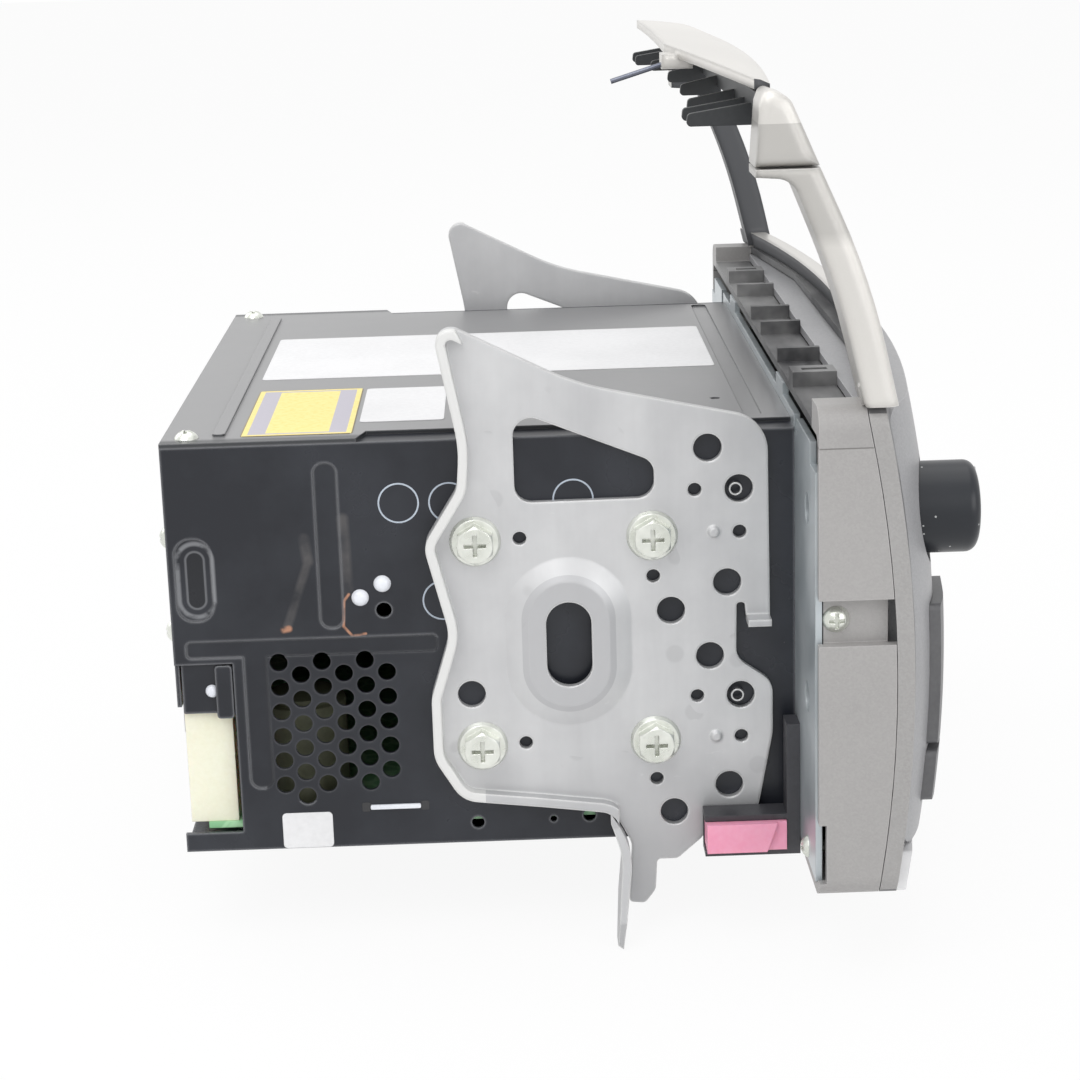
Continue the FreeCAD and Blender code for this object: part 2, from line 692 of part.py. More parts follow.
def case_shell():
    """Floor, side walls and inward top flanges, folded from one sheet."""
    body = new_body()
    profile = new_sketch(body, "XZ_Plane")
    top = half_height - d.steel
    lip = half_case - d.top_flange
    polygon(profile, [
        (-half_case, -half_height), (half_case, -half_height), (half_case, top), (lip, top),
        (lip, top - d.steel), (inside, top - d.steel), (inside, -half_height + d.steel),
        (-inside, -half_height + d.steel), (-inside, top - d.steel), (-lip, top - d.steel),
        (-lip, top), (-half_case, top)])
    pad(body, profile, d.case_depth, reverse=True)

    openings = new_sketch(body, "YZ_Plane")
    rows = [6, 6, 6, 5, 6, 5]
    for column, count in enumerate(rows):
        y = d.vent_last_y - column * d.vent_pitch_y
        start = d.vent_top_z - (column % 2) * d.vent_pitch_z / 2
        for step in range(count):
            circle(openings, y, start - step * d.vent_pitch_z, d.vent_radius)
    rectangle(openings, (d.corner_cut_y, d.case_depth + 1), (d.corner_cut_bottom, d.corner_cut_top))
    for y, z, radius in side_holes:
        circle(openings, y, z, radius)
    pocket(body, openings, half_case + 1)

    bolts = new_sketch(body, "YZ_Plane", half_case + 1)
    for y in (d.bolt_y, d.bolt_y + d.bolt_pitch_y):
        for z in (-d.unit_pitch / 2, d.unit_pitch / 2):
            circle(bolts, y, z, d.bolt_radius + d.running_gap)
    pocket(body, bolts, d.case_width + 2)

    beads = new_sketch(body, "YZ_Plane", -half_case)
    half_bead = d.bead_width / 2
    stamp_u = (d.stamp_y - d.stamp_width / 2, d.stamp_y + d.stamp_width / 2)
    stamp_v = (d.stamp_z - d.stamp_height / 2, d.stamp_z + d.stamp_height / 2)
    rounded_rectangle(beads, stamp_u, stamp_v, d.stamp_width * 0.45)
    rounded_rectangle(beads, (front_bead_y - half_bead, front_bead_y + half_bead), front_bead_span,
                      half_bead * 0.9)
    rounded_rectangle(beads, long_bead_span, (d.seam_low, d.seam_high), 1.2)
    pocket(body, beads, d.bead_depth, reverse=True)
    stem = new_sketch(body, "YZ_Plane", -half_case)
    stem_u = (d.stem_y - half_bead, d.stem_y + half_bead)
    rounded_rectangle(stem, stem_u, (stem_low, d.seam_high), half_bead * 0.9)
    pocket(body, stem, d.bead_depth, reverse=True)

    studs = new_sketch(body, "XY_Plane", -half_height + d.steel)
    for x in (-half_case + stud_inset, half_case - stud_inset):
        for y in stud_rows:
            circle(studs, x, y, stud_radius)
    pad(body, studs, d.stud_height)

    screws = new_sketch(body, "XY_Plane", half_height)
    for x in (-d.cover_screw_x, d.cover_screw_x):
        for y in (d.case_depth - d.cover_screw_inset, 12.0):
            circle(screws, x, y, screw_hole)
    pocket(body, screws, 3.0)
    return body


rear_ridge = ((-83.0, 78.0), (131.4, 134.4))
front_channel = ((-78.0, 80.0), (6.2, 10.4))
short_channel = ((-68.4, -66.6), (22.4, 30.6))
dimple_place = (-57.4, 15.4)
pressing = 0.5


def top_cover():
    """Lid of the case, narrower in front, with a rear bead, a front channel and screw holes."""
    body = new_body()
    outline = new_sketch(body, "XY_Plane", half_height - d.steel)
    inner = half_case - d.top_flange + 0.6
    polygon(outline, [
        (-inner, 0.0), (inner, 0.0), (inner, d.cover_step_y), (half_case, d.cover_step_y + 2),
        (half_case, d.case_depth), (-half_case, d.case_depth), (-half_case, d.cover_step_y + 2),
        (-inner, d.cover_step_y)])
    pad(body, outline, d.steel)
    bead = new_sketch(body, "XY_Plane", half_height)
    rounded_rectangle(bead, *rear_ridge, 1.3)
    pad(body, bead, pressing + 0.1)
    channel = new_sketch(body, "XY_Plane", half_height)
    rounded_rectangle(channel, *front_channel, 1.6)
    rounded_rectangle(channel, *short_channel, 0.8)
    circle(channel, *dimple_place, 1.2)
    pocket(body, channel, pressing)
    holes = new_sketch(body, "XY_Plane", half_height)
    for x in (-d.cover_screw_x, d.cover_screw_x):
        circle(holes, x, d.case_depth - d.cover_screw_inset, screw_hole)
    pocket(body, holes, 3.0)
    return body


def rear_panel():
    """Back wall with openings for the harness connector, the antenna socket and air."""
    body = new_body()
    outline = new_sketch(body, "XZ_Plane", -d.case_depth)
    rectangle(outline, (-inside, inside), (-half_height + d.steel, half_height - 2 * d.steel))
    pad(body, outline, d.steel)
    holes = new_sketch(body, "XZ_Plane", -d.case_depth)
    rectangle(holes, (-inside - 1, connector_room[0]), (-half_height, connector_room[1]))
    circle(holes, antenna_x, antenna_z, antenna_radius + d.fit_gap)
    for column in range(9):
        for step in range(3):
            x = air_start[0] + column * air_pitch[0]
            z = air_start[1] + step * air_pitch[1]
            rectangle(holes, (x, x + air_hole), (z, z + air_hole))
    for x, z in rear_screws:
        circle(holes, x, z, screw_hole)
    pocket(body, holes, 3.0, reverse=True)
    return body


connector_room = (-45.0, -13.8)
air_start = (24.0, 30.0)
air_pitch = (6.0, 5.0)
air_hole = 3.0
antenna_x = 62.0
antenna_z = -30.0
antenna_radius = 6.5
rear_screws = [(-84.0, 26.7), (-84.0, 4.0), (84.0, 26.7), (84.0, -30.0)]


def front_plate():
    """Zinc plate that carries the fascia on the case."""
    body = new_body()
    outline = new_sketch(body, "XZ_Plane")
    edge = half_fascia - d.fascia_wall - d.fit_gap
    top = d.plate_top
    rail = top - 3
    shoulder = top - 8
    notch = edge - 9
    tab_in, tab_out = top_tab
    polygon(outline, [
        (-edge, -d.plate_bottom), (edge, -d.plate_bottom), (edge, shoulder), (notch, shoulder), (notch, rail),
        (tab_out, rail), (tab_out, top), (tab_in, top), (tab_in, rail), (-tab_in, rail), (-tab_in, top),
        (-tab_out, top), (-tab_out, rail), (-notch, rail), (-notch, shoulder), (-edge, shoulder)])
    pad(body, outline, d.plate_thick)
    holes = new_sketch(body, "XZ_Plane")
    guide = guide_gap
    rectangle(holes, (-d.slot_half - guide, d.slot_half + guide), (d.slot_low - guide, d.slot_high + guide))
    rectangle(holes, *plate_window)
    hole_x = edge - 14.2
    for x in (-hole_x, hole_x):
        for z in (35.7, -8.3):
            circle(holes, x, z, 3.6)
    for x in (-clip_screw_x, clip_screw_x):
        circle(holes, x, clip_screw_z, screw_hole)
    for edges in mirrored_pair(*top_slot):
        rectangle(holes, edges, (top - 7, top + 1))
    pocket(body, holes, 5.0, reverse=True)
    return body


plate_window = ((-60.0, 60.0), (-36.0, 6.0))
top_tab = (52.0, 66.0)
top_slot = (88.0, 93.0)
guide_gap = 3.3
guide_rim = 3.0
clip_screw_x = (d.clip_outer + half_fascia - d.fascia_wall - d.fit_gap) / 2
clip_screw_z = -44.6


def fascia_housing():
    """Box frame of the fascia, its front edge curved, with a web, a trough on top and side recesses."""
    body = new_body()
    outer = new_sketch(body, "XZ_Plane", d.fascia_rear)
    rounded_rectangle(outer, (-half_fascia, half_fascia), (-d.fascia_bottom, d.fascia_top), d.fascia_corner)
    pad(body, outer, WORK_REACH)
    inner_half = half_fascia - d.fascia_wall
    inner_top = d.fascia_top - d.top_recess - 2
    hollow = new_sketch(body, "XZ_Plane", d.fascia_rear)
    inner = ((-inner_half, inner_half), (-d.fascia_bottom + d.fascia_wall, inner_top))
    rounded_rectangle(hollow, *inner, 2.5)
    pocket(body, hollow, WORK_REACH, reverse=True)
    web = new_sketch(body, "XZ_Plane", d.web_front - d.web_thick)
    rectangle(web, (-inner_half - 0.5, inner_half + 0.5), (-d.fascia_bottom + 1, inner_top + 0.5))
    rectangle(web, wider((-d.knob_x, d.knob_x), 0.0), (-36.0, d.slot_high + 5.6))
    pad(body, web, d.web_thick)
    bow_cut(body, d.bezel_setback + d.bezel_depth, BELOW_ALL, ABOVE_ALL, behind=False)
    gap = d.fit_gap
    front_window(body, wider((-d.panel_half, d.panel_half), gap), (-d.panel_bottom - gap, d.panel_top + gap),
                 d.web_front, d.panel_corner + gap)
    block_rear = d.plate_thick + d.fit_gap
    blocks = new_sketch(body, "XZ_Plane", block_rear)
    for side in (-1, 1):
        edges = sorted((side * (inner_half - 3), side * (inner_half + 0.5)), key=number_of)
        rectangle(blocks, edges, (d.side_slot_low - 3, d.side_slot_high + 3))
    pad(body, blocks, d.web_front + block_reach - block_rear)
    trough = new_sketch(body, "XY_Plane", d.fascia_top)
    land = half_fascia - d.top_land
    end_y = surface_y(d.bezel_setback + d.bezel_depth, land, d.fascia_top) + 1.4
    flat_x, flat_y = trough_front
    polygon(trough, [(-land, 5.0), (-land, end_y), (-flat_x, flat_y), (flat_x, flat_y), (land, end_y), (land, 5.0)])
    pocket(body, trough, d.top_recess)
    ribs = new_sketch(body, "XY_Plane", d.fascia_top - d.top_recess)
    for x in thin_rib_places:
        rectangle(ribs, wider((x, x), 1.0), (-d.web_front, -d.fascia_rear))
    for x in box_rib_places:
        rectangle(ribs, wider((x, x), 4.0), (-d.web_front, -d.fascia_rear))
        rectangle(ribs, wider((x, x), 1.2), (-9.0, -3.0))
    pad(body, ribs, d.top_recess - 1)
    for offset, reverse in ((-half_fascia, True), (half_fascia, False)):
        recess = new_sketch(body, "YZ_Plane", offset)
        rectangle(recess, (-30.0, 0.0), (d.side_slot_low, d.side_slot_high))
        pocket(body, recess, d.side_slot_depth, reverse=reverse)
        step = new_sketch(body, "YZ_Plane", offset)
        rectangle(step, (-2.2, 0.0), (-47.3, -33.2))
        pocket(body, step, d.fascia_wall + 0.5, reverse=reverse)
    drills = new_sketch(body, "YZ_Plane", half_fascia + 1)
    circle(drills, side_screw_y, side_screw_z, screw_hole)
    pocket(body, drills, d.fascia_width + 2)
    return body


trough_front = (60.0, -18.0)
thin_rib_places = (-50.0, -12.0, 12.0, 50.0)
box_rib_places = (-78.0, 78.0)
block_reach = 5.2
side_screw_y = -4.6
side_screw_z = 13.9


def front_bezel():
    """Curved frame round the control panel."""
    body = new_body()
    outer = new_sketch(body, "XZ_Plane", d.web_front + 0.2)
    rounded_rectangle(outer, (-half_fascia, half_fascia), (-d.fascia_bottom, d.fascia_top), d.fascia_corner)
    pad(body, outer, WORK_REACH - d.web_front)
    side = d.panel_half + d.panel_gap
    front_window(body, (-side, side), (-d.panel_bottom - 0.6, d.panel_top + 0.6), d.web_front - 1,
                 d.panel_corner)
    bow_cut(body, d.bezel_setback, BELOW_ALL, ABOVE_ALL, behind=False)
    bow_cut(body, d.bezel_setback + d.bezel_depth - 0.15, BELOW_ALL, ABOVE_ALL, behind=True)
    return body


def button_outlines():
    """Front view outline of every button, as (label, (left, right), (low, high))."""
    outlines = []
    for side, edges in zip(("right", "left"), mirrored_pair(d.side_button_in, d.side_button_out)):
        outlines.append((f"{side}_upper_button", edges, (-d.side_button_split + 0.8, d.side_button_top)))
        outlines.append((f"{side}_lower_button", edges, (-d.side_button_end, -d.side_button_split - 0.8)))
    for index in range(6):
        middle = (index - 2.5) * d.preset_pitch
        edges = (middle - d.preset_width / 2, middle + d.preset_width / 2)
        heights = (d.preset_z - d.preset_height / 2, d.preset_z + d.preset_height / 2)
        outlines.append((f"preset_button_{index + 1}", edges, heights))
    eject_left = d.slot_half + guide_rim + 1.7
    room = d.knob_x - d.well_radius - 1.5 - eject_left
    edges = (eject_left, eject_left + room * d.eject_share)
    middle = (d.slot_low + d.slot_high) / 2
    outlines.append(("eject_button", edges, (middle - d.eject_height / 2, middle + d.eject_height / 2)))
    return outlines


def wider(pair, gap):
    return (pair[0] - gap, pair[1] + gap)


def control_panel():
    """Curved shell with knob wells and openings for display, slot and buttons."""
    body = new_body()
    outline = new_sketch(body, "XZ_Plane", d.web_front)
    rounded_rectangle(outline, (-d.panel_half, d.panel_half), (-d.panel_bottom, d.panel_top), d.panel_corner)
    pad(body, outline, WORK_REACH - d.web_front)
    heights = (-d.panel_bottom + 2, d.panel_top - 2)
    rear_room = new_sketch(body, "XZ_Plane", d.web_front)
    rectangle(rear_room, wider((-d.panel_half, d.panel_half), -6.5), heights)
    pocket(body, rear_room, 6.0, reverse=True)
    hollow_turn = arc_sine((d.panel_half - 11.5) / d.bow_radius)
    bow_cut(body, d.panel_wall, *heights, behind=True, half_turn=hollow_turn)
    cups = new_sketch(body, "XZ_Plane", d.well_floor - 1.2)
    for x in (-d.knob_x, d.knob_x):
        circle(cups, x, d.knob_z, d.well_radius + 1.5)
    pad(body, cups, WORK_REACH - d.well_floor)
    bow_cut(body, 0.0, BELOW_ALL, ABOVE_ALL, behind=False)
    wells = new_sketch(body, "XZ_Plane", d.well_floor)
    for x in (-d.knob_x, d.knob_x):
        circle(wells, x, d.knob_z, d.well_radius)
    pocket(body, wells, WORK_REACH - d.well_floor, reverse=True)
    bores = new_sketch(body, "XZ_Plane", d.well_floor - 3)
    for x in (-d.knob_x, d.knob_x):
        circle(bores, x, d.knob_z, bush_radius + d.fit_gap)
    pocket(body, bores, 6.0, reverse=True)
    start = d.web_front + 4
    front_window(body, (-d.display_half, d.display_half), (d.display_low, d.display_high), start, 2.5)
    front_window(body, (-d.slot_half, d.slot_half), (d.slot_low, d.slot_high), start, 1.5)
    for _, edges, heights in button_outlines():
        front_window(body, wider(edges, d.fit_gap), wider(heights, d.fit_gap), start, 1.5 + d.fit_gap)
    outside = end_rounding(0.0)
    return cut(body, outside, mirrored(outside))


bush_radius = 4.0
board_front = d.web_front + d.board_thick
switch_front = board_front + d.switch_height


def display_lens():
    """Tinted window that follows the panel's curve."""
    gap = d.fit_gap
    u = (-d.display_half + gap, d.display_half - gap)
    v = (d.display_low + gap, d.display_high - gap)
    body = bowed_piece(u, v, d.web_front + 4, d.lens_setback, 2.2)
    bow_cut(body, d.lens_setback + 2.0, BELOW_ALL, ABOVE_ALL, behind=True)
    return body


def lower_strip():
    """Clear strip under the control panel."""
    u = (-d.panel_half, d.panel_half)
    v = (-d.strip_drop, -d.panel_bottom - 0.2)
    body = bowed_piece(u, v, d.web_front + 4, d.strip_setback, 1.0)
    bow_cut(body, d.bezel_setback, BELOW_ALL, ABOVE_ALL, behind=True)
    return body


stem_radius = 1.6
switch_half = 3.0


def button(edges, heights):
    """Hollow key cap with a stem that ends just in front of its push switch."""
    back = switch_front + d.button_travel + d.fit_gap
    cap = bowed_piece(edges, heights, back, -d.button_proud, 1.5)
    wall = 1.3
    inner = (wider(edges, -wall), wider(heights, -wall))
    hollow = box(inner[0], (-back - 4, -back + 1), inner[1])
    middle_x = (edges[0] + edges[1]) / 2
    middle_z = (heights[0] + heights[1]) / 2
    stem = rod("y", (middle_x, middle_z), stem_radius, (-back - 5, -back))
    if max(abs(number_of(edge)) for edge in edges) > number_of(d.knob_x):
        outside = end_rounding(-number_of(d.button_proud))
        return fuse(cut(cap, hollow, outside, mirrored(outside)), stem)
    return fuse(cut(cap, hollow), stem)


def front_board():
    """Circuit board behind the control panel, with a hole for the disc path."""
    sheet = box(wider((-d.panel_half, d.panel_half), -7.5), (-board_front, -d.web_front),
                (-d.panel_bottom + 3, d.slot_high + guide_gap + 1.7))
    gap = guide_gap + 0.7
    path = box((-d.slot_half - gap, d.slot_half + gap), (-board_front - 1, -d.web_front + 1),
               (d.slot_low - guide_gap + 1, d.slot_high + guide_gap - 1))
    return cut(sheet, path)


def push_switches():
    """One push switch behind every button."""
    switches = []
    for _, edges, heights in button_outlines():
        x = (edges[0] + edges[1]) / 2
        z = (heights[0] + heights[1]) / 2
        base = box(wider((x, x), switch_half), (-switch_front + 1.2, -board_front), wider((z, z), switch_half))
        stem = rod("y", (x, z), stem_radius + 0.1, (-switch_front, -switch_front + 1.5))
        switches.append(fuse(base, stem))
    return group(*switches)


encoder_front = d.well_floor - 1.2
bush_front = d.knob_back + 3.4
encoder_half = 6.5
plunger_radius = 3.5
knob_face = 2.4


def rotary_encoders():
    """Encoder housings with their threaded bushes, bored for shaft and push plunger."""
    housings = []
    for x in (-d.knob_x, d.knob_x):
        body = box(wider((x, x), encoder_half), (-encoder_front, -board_front),
                   wider((d.knob_z, d.knob_z), encoder_half))
        bush = rod("y", (x, d.knob_z), bush_radius, (-bush_front, -encoder_front + 1))
        bore = rod("y", (x, d.knob_z), d.shaft_radius + d.running_gap, (-bush_front - 1, -plunger_room[1] + 1))
        room = rod("y", (x, d.knob_z), plunger_radius + 0.4, (-plunger_room[1], -plunger_room[0]))
        housings.append(cut(fuse(body, bush), bore, room))
    return group(*housings)


plunger_room = (board_front + 2.2, encoder_front - 1.4)
plunger_back = plunger_room[0] + d.press_travel + 0.6
plunger_front = plunger_back + 1.6
shaft_back = plunger_front + d.fit_gap


def volume_plunger():
    return rod("y", (-d.knob_x, d.knob_z), plunger_radius, (-plunger_front, -plunger_back))


def encoder_shaft(x):
    """Shaft with a flat at its tip, held by the knob."""
    shaft = rod("y", (x, d.knob_z), d.shaft_radius, (-d.knob_front + knob_face, -shaft_back))
    flat = box((x + 1.6, x + 4.0), (-d.knob_front + 2.0, -bush_front - 0.8), (d.knob_z - 4, d.knob_z + 4))
    return cut(shaft, flat)


def knob(x):
    """Rubber covered knob, rounded in front, with a pointer notch and a hub for the shaft."""
    body = new_body()
    profile = new_sketch(body, "XZ_Plane", d.knob_back)
    circle(profile, x, d.knob_z, d.knob_radius)
    plain = pad(body, profile, d.knob_front - d.knob_back)
    doc.recompute()
    edges = [f"Edge{index}" for index, edge in enumerate(body.Shape.Edges, start=1)
             if abs(edge.CenterOfMass.y + number_of(d.knob_front)) < 1e-3]
    rounding = body.newObject("PartDesign::Fillet", new_name("Fillet"))
    rounding.Base = (plain, edges)
    bind(rounding, "Radius", d.knob_round)
    hollow = new_sketch(body, "XZ_Plane", d.knob_back)
    circle(hollow, x, d.knob_z, bush_radius + 0.8)
    pocket(body, hollow, bush_front - d.knob_back + d.press_travel + d.fit_gap, reverse=True)
    bore = new_sketch(body, "XZ_Plane", d.knob_back)
    circle(bore, x, d.knob_z, d.shaft_radius + 0.02)
    pocket(body, bore, d.knob_front - d.knob_back - knob_face, reverse=True)
    return body


def display_module():
    """Flat display with its frame, standing on the front board."""
    edge = d.display_half - 1
    frame = box((-edge, edge), (-29.0, -board_front), (d.display_low + 0.8, d.display_high - 0.8))
    glass = box((-edge + 4, edge - 4), (-29.6, -28.5), (d.display_low + 4, d.display_high - 4))
    return fuse(frame, glass)


def disc_guide():
    """Lipped channel that leads a disc from the slot through plate and board to the roller."""
    reach = 28.6
    outer = box(wider((-d.slot_half, d.slot_half), guide_rim), (-reach, 3.2), wider((d.slot_low, d.slot_high), 2.1))
    path = box(wider((-d.slot_half, d.slot_half), 0.3), (-reach - 1, 4.2), wider((d.slot_low, d.slot_high), 0.3))
    return cut(outer, path)


# Main board and rear fittings

floor_top = -half_height + d.steel
main_board_low = floor_top + d.stud_height
main_board_high = main_board_low + d.board_thick


def main_board():
    plain = box((-inside + 1, inside - 1), (5.0, d.case_depth - 5.4), (main_board_low, main_board_high))
    notch = box((inside - 4, inside), (100.0, 110.0), (main_board_low - 1, main_board_high + 1))
    return cut(plain, notch)


def line_choke():
    """Wound choke of the supply filter behind the side perforations: coil between two flanges."""
    centre = (-74.6, 117.4)
    foot = rod("z", centre, 9.0, (main_board_high, main_board_high + 1.6))
    coil = rod("z", centre, 10.2, (main_board_high + 1.4, -16.8))
    head = rod("z", centre, 8.2, (-17.0, -15.2))
    return fuse(foot, coil, head)


def harness_connector():
    """Cream block of the wiring harness, its pin cells open to the rear."""
    back = d.case_depth - 1.3
    front = d.corner_cut_y + 1.1
    block = box((-inside + 1.5, -46.5), (front, back), (main_board_high, -15.8))
    crown = box((-80.0, -60.0), (front + 3.6, back - 1.2), (-16.8, -12.6))
    cells = []
    for column in range(5):
        for row in range(2):
            x = -83.0 + column * 7.2
            z = -41.0 + row * 12.4
            cells.append(box((x, x + 5.4), (back - 8, back + 1), (z, z + 10.0)))
    return cut(fuse(block, crown), *cells)


def antenna_socket():
    """Coaxial socket on a metal foot."""
    front = d.case_depth - 12
    foot = box((antenna_x - 8, antenna_x + 8), (front, d.case_depth - 6.5), (main_board_high, antenna_z + 8))
    barrel = rod("y", (antenna_x, antenna_z), antenna_radius, (front + 2, d.case_depth + 6))
    bore = rod("y", (antenna_x, antenna_z), antenna_bore, (d.case_depth - 4, d.case_depth + 7))
    return cut(fuse(foot, barrel), bore)


antenna_bore = 4.2
sink_x = (-30.0, 46.0)
sink_z = (-40.0, 20.0)


def heat_sink():
    """Finned block on the rear panel."""
    base = box(sink_x, (d.case_depth, d.case_depth + 2.5), sink_z)
    fins = []
    for index in range(10):
        x = sink_x[0] + index * (sink_x[1] - sink_x[0] - 2) / 9
        fins.append(box((x, x + 2.0), (d.case_depth + 2, d.case_depth + 7), sink_z))
    return fuse(base, *fins)


# Deck: shelf, dampers, frame, spindle, pickup, clamp and loading drive

deck_span = (2.0, 138.0)
shelf_span = (6.0, 140.0)
damper_x = 66.0
damper_rows = (22.0, 122.0)
shelf_top = d.shelf_z + d.deck_sheet
deck_top = d.deck_z + d.deck_sheet
wall_out = d.deck_half
wall_in = d.deck_half - d.deck_sheet
rail_y = (d.disc_y - d.rail_offset, d.disc_y + d.rail_offset)
screw_y = d.disc_y + d.screw_offset
screw_z = d.rail_z + 2.7
block_low = (12.0, 14.5)
block_high = (d.sled_start + d.sled_width + d.sled_travel + 1.5, d.sled_start + d.sled_width + d.sled_travel + 4)
clamp_y = d.disc_y + d.clamp_back


def mech_shelf():
    """Shelf across the case, its side walls notched round the bolts."""
    floor = box((-inside, inside), shelf_span, (d.shelf_z, shelf_top))
    sides = [box((x0, x1), shelf_span, (shelf_top - 0.2, shelf_top + 11))
             for x0, x1 in mirrored_pair(inside - d.deck_sheet, inside)]
    window = box((-45.0, 45.0), (40.0, 110.0), (d.shelf_z - 1, shelf_top + 1))
    notch_low = d.unit_pitch / 2 - d.bolt_radius - 0.5
    notches = [box((-inside - 1, inside + 1), (y - d.bolt_radius - 1, y + d.bolt_radius + 1),
                   (notch_low, notch_low + 2 * d.bolt_radius + 2))
               for y in (d.bolt_y, d.bolt_y + d.bolt_pitch_y)]
    return cut(fuse(floor, *sides), window, *notches)


def deck_dampers():
    dampers = []
    for x in (-damper_x, damper_x):
        for y in damper_rows:
            base = rod("z", (x, y), 6.0, (shelf_top, shelf_top + 4))
            neck = rod("z", (x, y), 4.5, (shelf_top + 3, d.deck_z - 3))
            head = rod("z", (x, y), 5.5, (d.deck_z - 4, d.deck_z))
            dampers.append(fuse(base, neck, head))
    return group(*dampers)


def deck_frame():
    """Folded deck plate with walls, rail blocks and the ears of the clamp arm."""
    floor = box((-wall_out, wall_out), deck_span, (d.deck_z, deck_top))
    walls = [box((x0, x1), deck_span, (deck_top - 0.2, d.clamp_z - 1.4))
             for x0, x1 in mirrored_pair(wall_in, wall_out)]
    blocks = []
    for x in (block_low, block_high):
        for y in rail_y:
            blocks.append(box(x, (y - 3.5, y + 3.5), (deck_top - 0.2, d.rail_z + 2.6)))
        blocks.append(box(x, (screw_y - 3.5, screw_y + 3.5), (deck_top - 0.2, screw_z + 2.6)))
    ears = [box((x0, x1), (clamp_y - 4, clamp_y + 4), (deck_top - 0.2, d.clamp_z + 2.6))
            for x0, x1 in mirrored_pair(ear_in, ear_in + 1.5)]
    window = box((15.5, 67.5), (rail_y[0] - 6, screw_y + 5), (d.deck_z - 1, deck_top + 1))
    motor_hole = rod("z", (0.0, d.disc_y), motor_radius + 0.2, (d.deck_z - 1, deck_top + 1))
    bores = [rod("x", (d.roller_y, d.roller_z), d.rail_radius + d.running_gap, (-wall_out - 1, wall_out + 1)),
             rod("x", (clamp_y, d.clamp_z), d.rail_radius + d.running_gap, (-ear_in - 3, ear_in + 3)),
             rod("x", (screw_y, screw_z), d.rail_radius + d.running_gap, (block_low[0] - 1, block_high[1] + 1)),
             rod("x", (pinion_y, d.roller_z), pinion_shaft + 0.3, (wall_in - 1, wall_out + 1))]
    for y in rail_y:
        bores.append(rod("x", (y, d.rail_z), d.rail_radius, (block_low[0] - 1, block_high[1] + 1)))
    return cut(fuse(floor, *walls, *blocks, *ears), window, motor_hole, *bores)


ear_in = 17.0
motor_radius = 11.5
spindle_radius = 1.0
pinion_shaft = 0.8
pinion_y = d.roller_y + d.gear_module * (d.gear_teeth + d.pinion_teeth) / 2


def spindle_motor():
    """Can under the deck plate with a flange on top of it."""
    can = rod("z", (0.0, d.disc_y), motor_radius, (d.deck_z - 9, deck_top + 3))
    flange = rod("z", (0.0, d.disc_y), motor_radius + 2.5, (deck_top, deck_top + 1))
    bore = rod("z", (0.0, d.disc_y), spindle_radius + d.running_gap, (d.deck_z - 7, deck_top + 4))
    return cut(fuse(can, flange), bore)


def turntable():
    """Turntable with its centring hub and spindle."""
    plate = rod("z", (0.0, d.disc_y), 14.0, (d.disc_z - 2.6, d.disc_z))
    boss = rod("z", (0.0, d.disc_y), 6.0, (deck_top + 3.5, d.disc_z - 2))
    hub = cone("z", (0.0, d.disc_y), d.hub_radius, d.hub_radius - 1.2, (d.disc_z - 0.5, d.disc_z + 1.6))
    spindle = rod("z", (0.0, d.disc_y), spindle_radius, (d.deck_z - 6, d.disc_z - 1))
    return fuse(plate, boss, hub, spindle)


def clamp_arm():
    """Arm over the disc with its trunnion, seen raised."""
    low = d.clamp_z - 0.6
    high = d.clamp_z + 0.6
    wide = box((-16.0, 16.0), (clamp_y - 22, clamp_y + 3), (low, high))
    narrow = box((-9.0, 9.0), (d.disc_y - 9, clamp_y - 20), (low, high))
    trunnion = rod("x", (clamp_y, d.clamp_z), d.rail_radius, (-ear_in - 1.5, ear_in + 1.5))
    hole = rod("z", (0.0, d.disc_y), 5.4, (low - 1, high + 1))
    return cut(fuse(wide, narrow, trunnion), hole)


def clamp_puck():
    """Magnetic puck that hangs in the arm's hole and spins with the disc."""
    face = d.disc_z + 4.7
    flange = rod("z", (0.0, d.disc_y), 11.5, (face, d.clamp_z - 0.9))
    neck = rod("z", (0.0, d.disc_y), 5.1, (d.clamp_z - 1.2, d.clamp_z + 1.2))
    cap = rod("z", (0.0, d.disc_y), 7.0, (d.clamp_z + 0.9, d.clamp_z + 2.0))
    recess = rod("z", (0.0, d.disc_y), d.hub_radius + 0.9, (face - 1, face + 1.0))
    return cut(fuse(flange, neck, cap), recess)


def pickup_sled():
    """Laser sled that runs on two rails, with a nut arm on the lead screw."""
    x = (d.sled_start, d.sled_start + d.sled_width)
    body = box(x, (rail_y[0] - 4, rail_y[1] + 4), (d.deck_z - 1.5, d.rail_z + 3.2))
    arm = box((x[0] + 3, x[0] + 9), (rail_y[1] + 3, screw_y + 3), (d.rail_z + 0.4, screw_z + 2.4))
    lens = rod("z", ((x[0] + x[1]) / 2, d.disc_y), 3.6, (d.rail_z + 3, d.rail_z + 5.4))
    bores = [rod("x", (y, d.rail_z), d.rail_radius + d.running_gap, (x[0] - 1, x[1] + 1)) for y in rail_y]
    nut = rod("x", (screw_y, screw_z), d.rail_radius + 0.08, (x[0] - 1, x[1] + 1))
    return cut(fuse(body, arm, lens), *bores, nut)


def sled_rails():
    return group(*[rod("x", (y, d.rail_z), d.rail_radius, (block_low[0], block_high[1])) for y in rail_y])


def lead_screw():
    """Plain core of the lead screw with a collar at its driven end."""
    core = rod("x", (screw_y, screw_z), d.rail_radius, (block_low[0] - 3, block_high[1] + 1.4))
    collar = rod("x", (screw_y, screw_z), d.rail_radius + 0.9, (block_low[1] + 0.15, block_low[1] + 1.3))
    return fuse(core, collar)


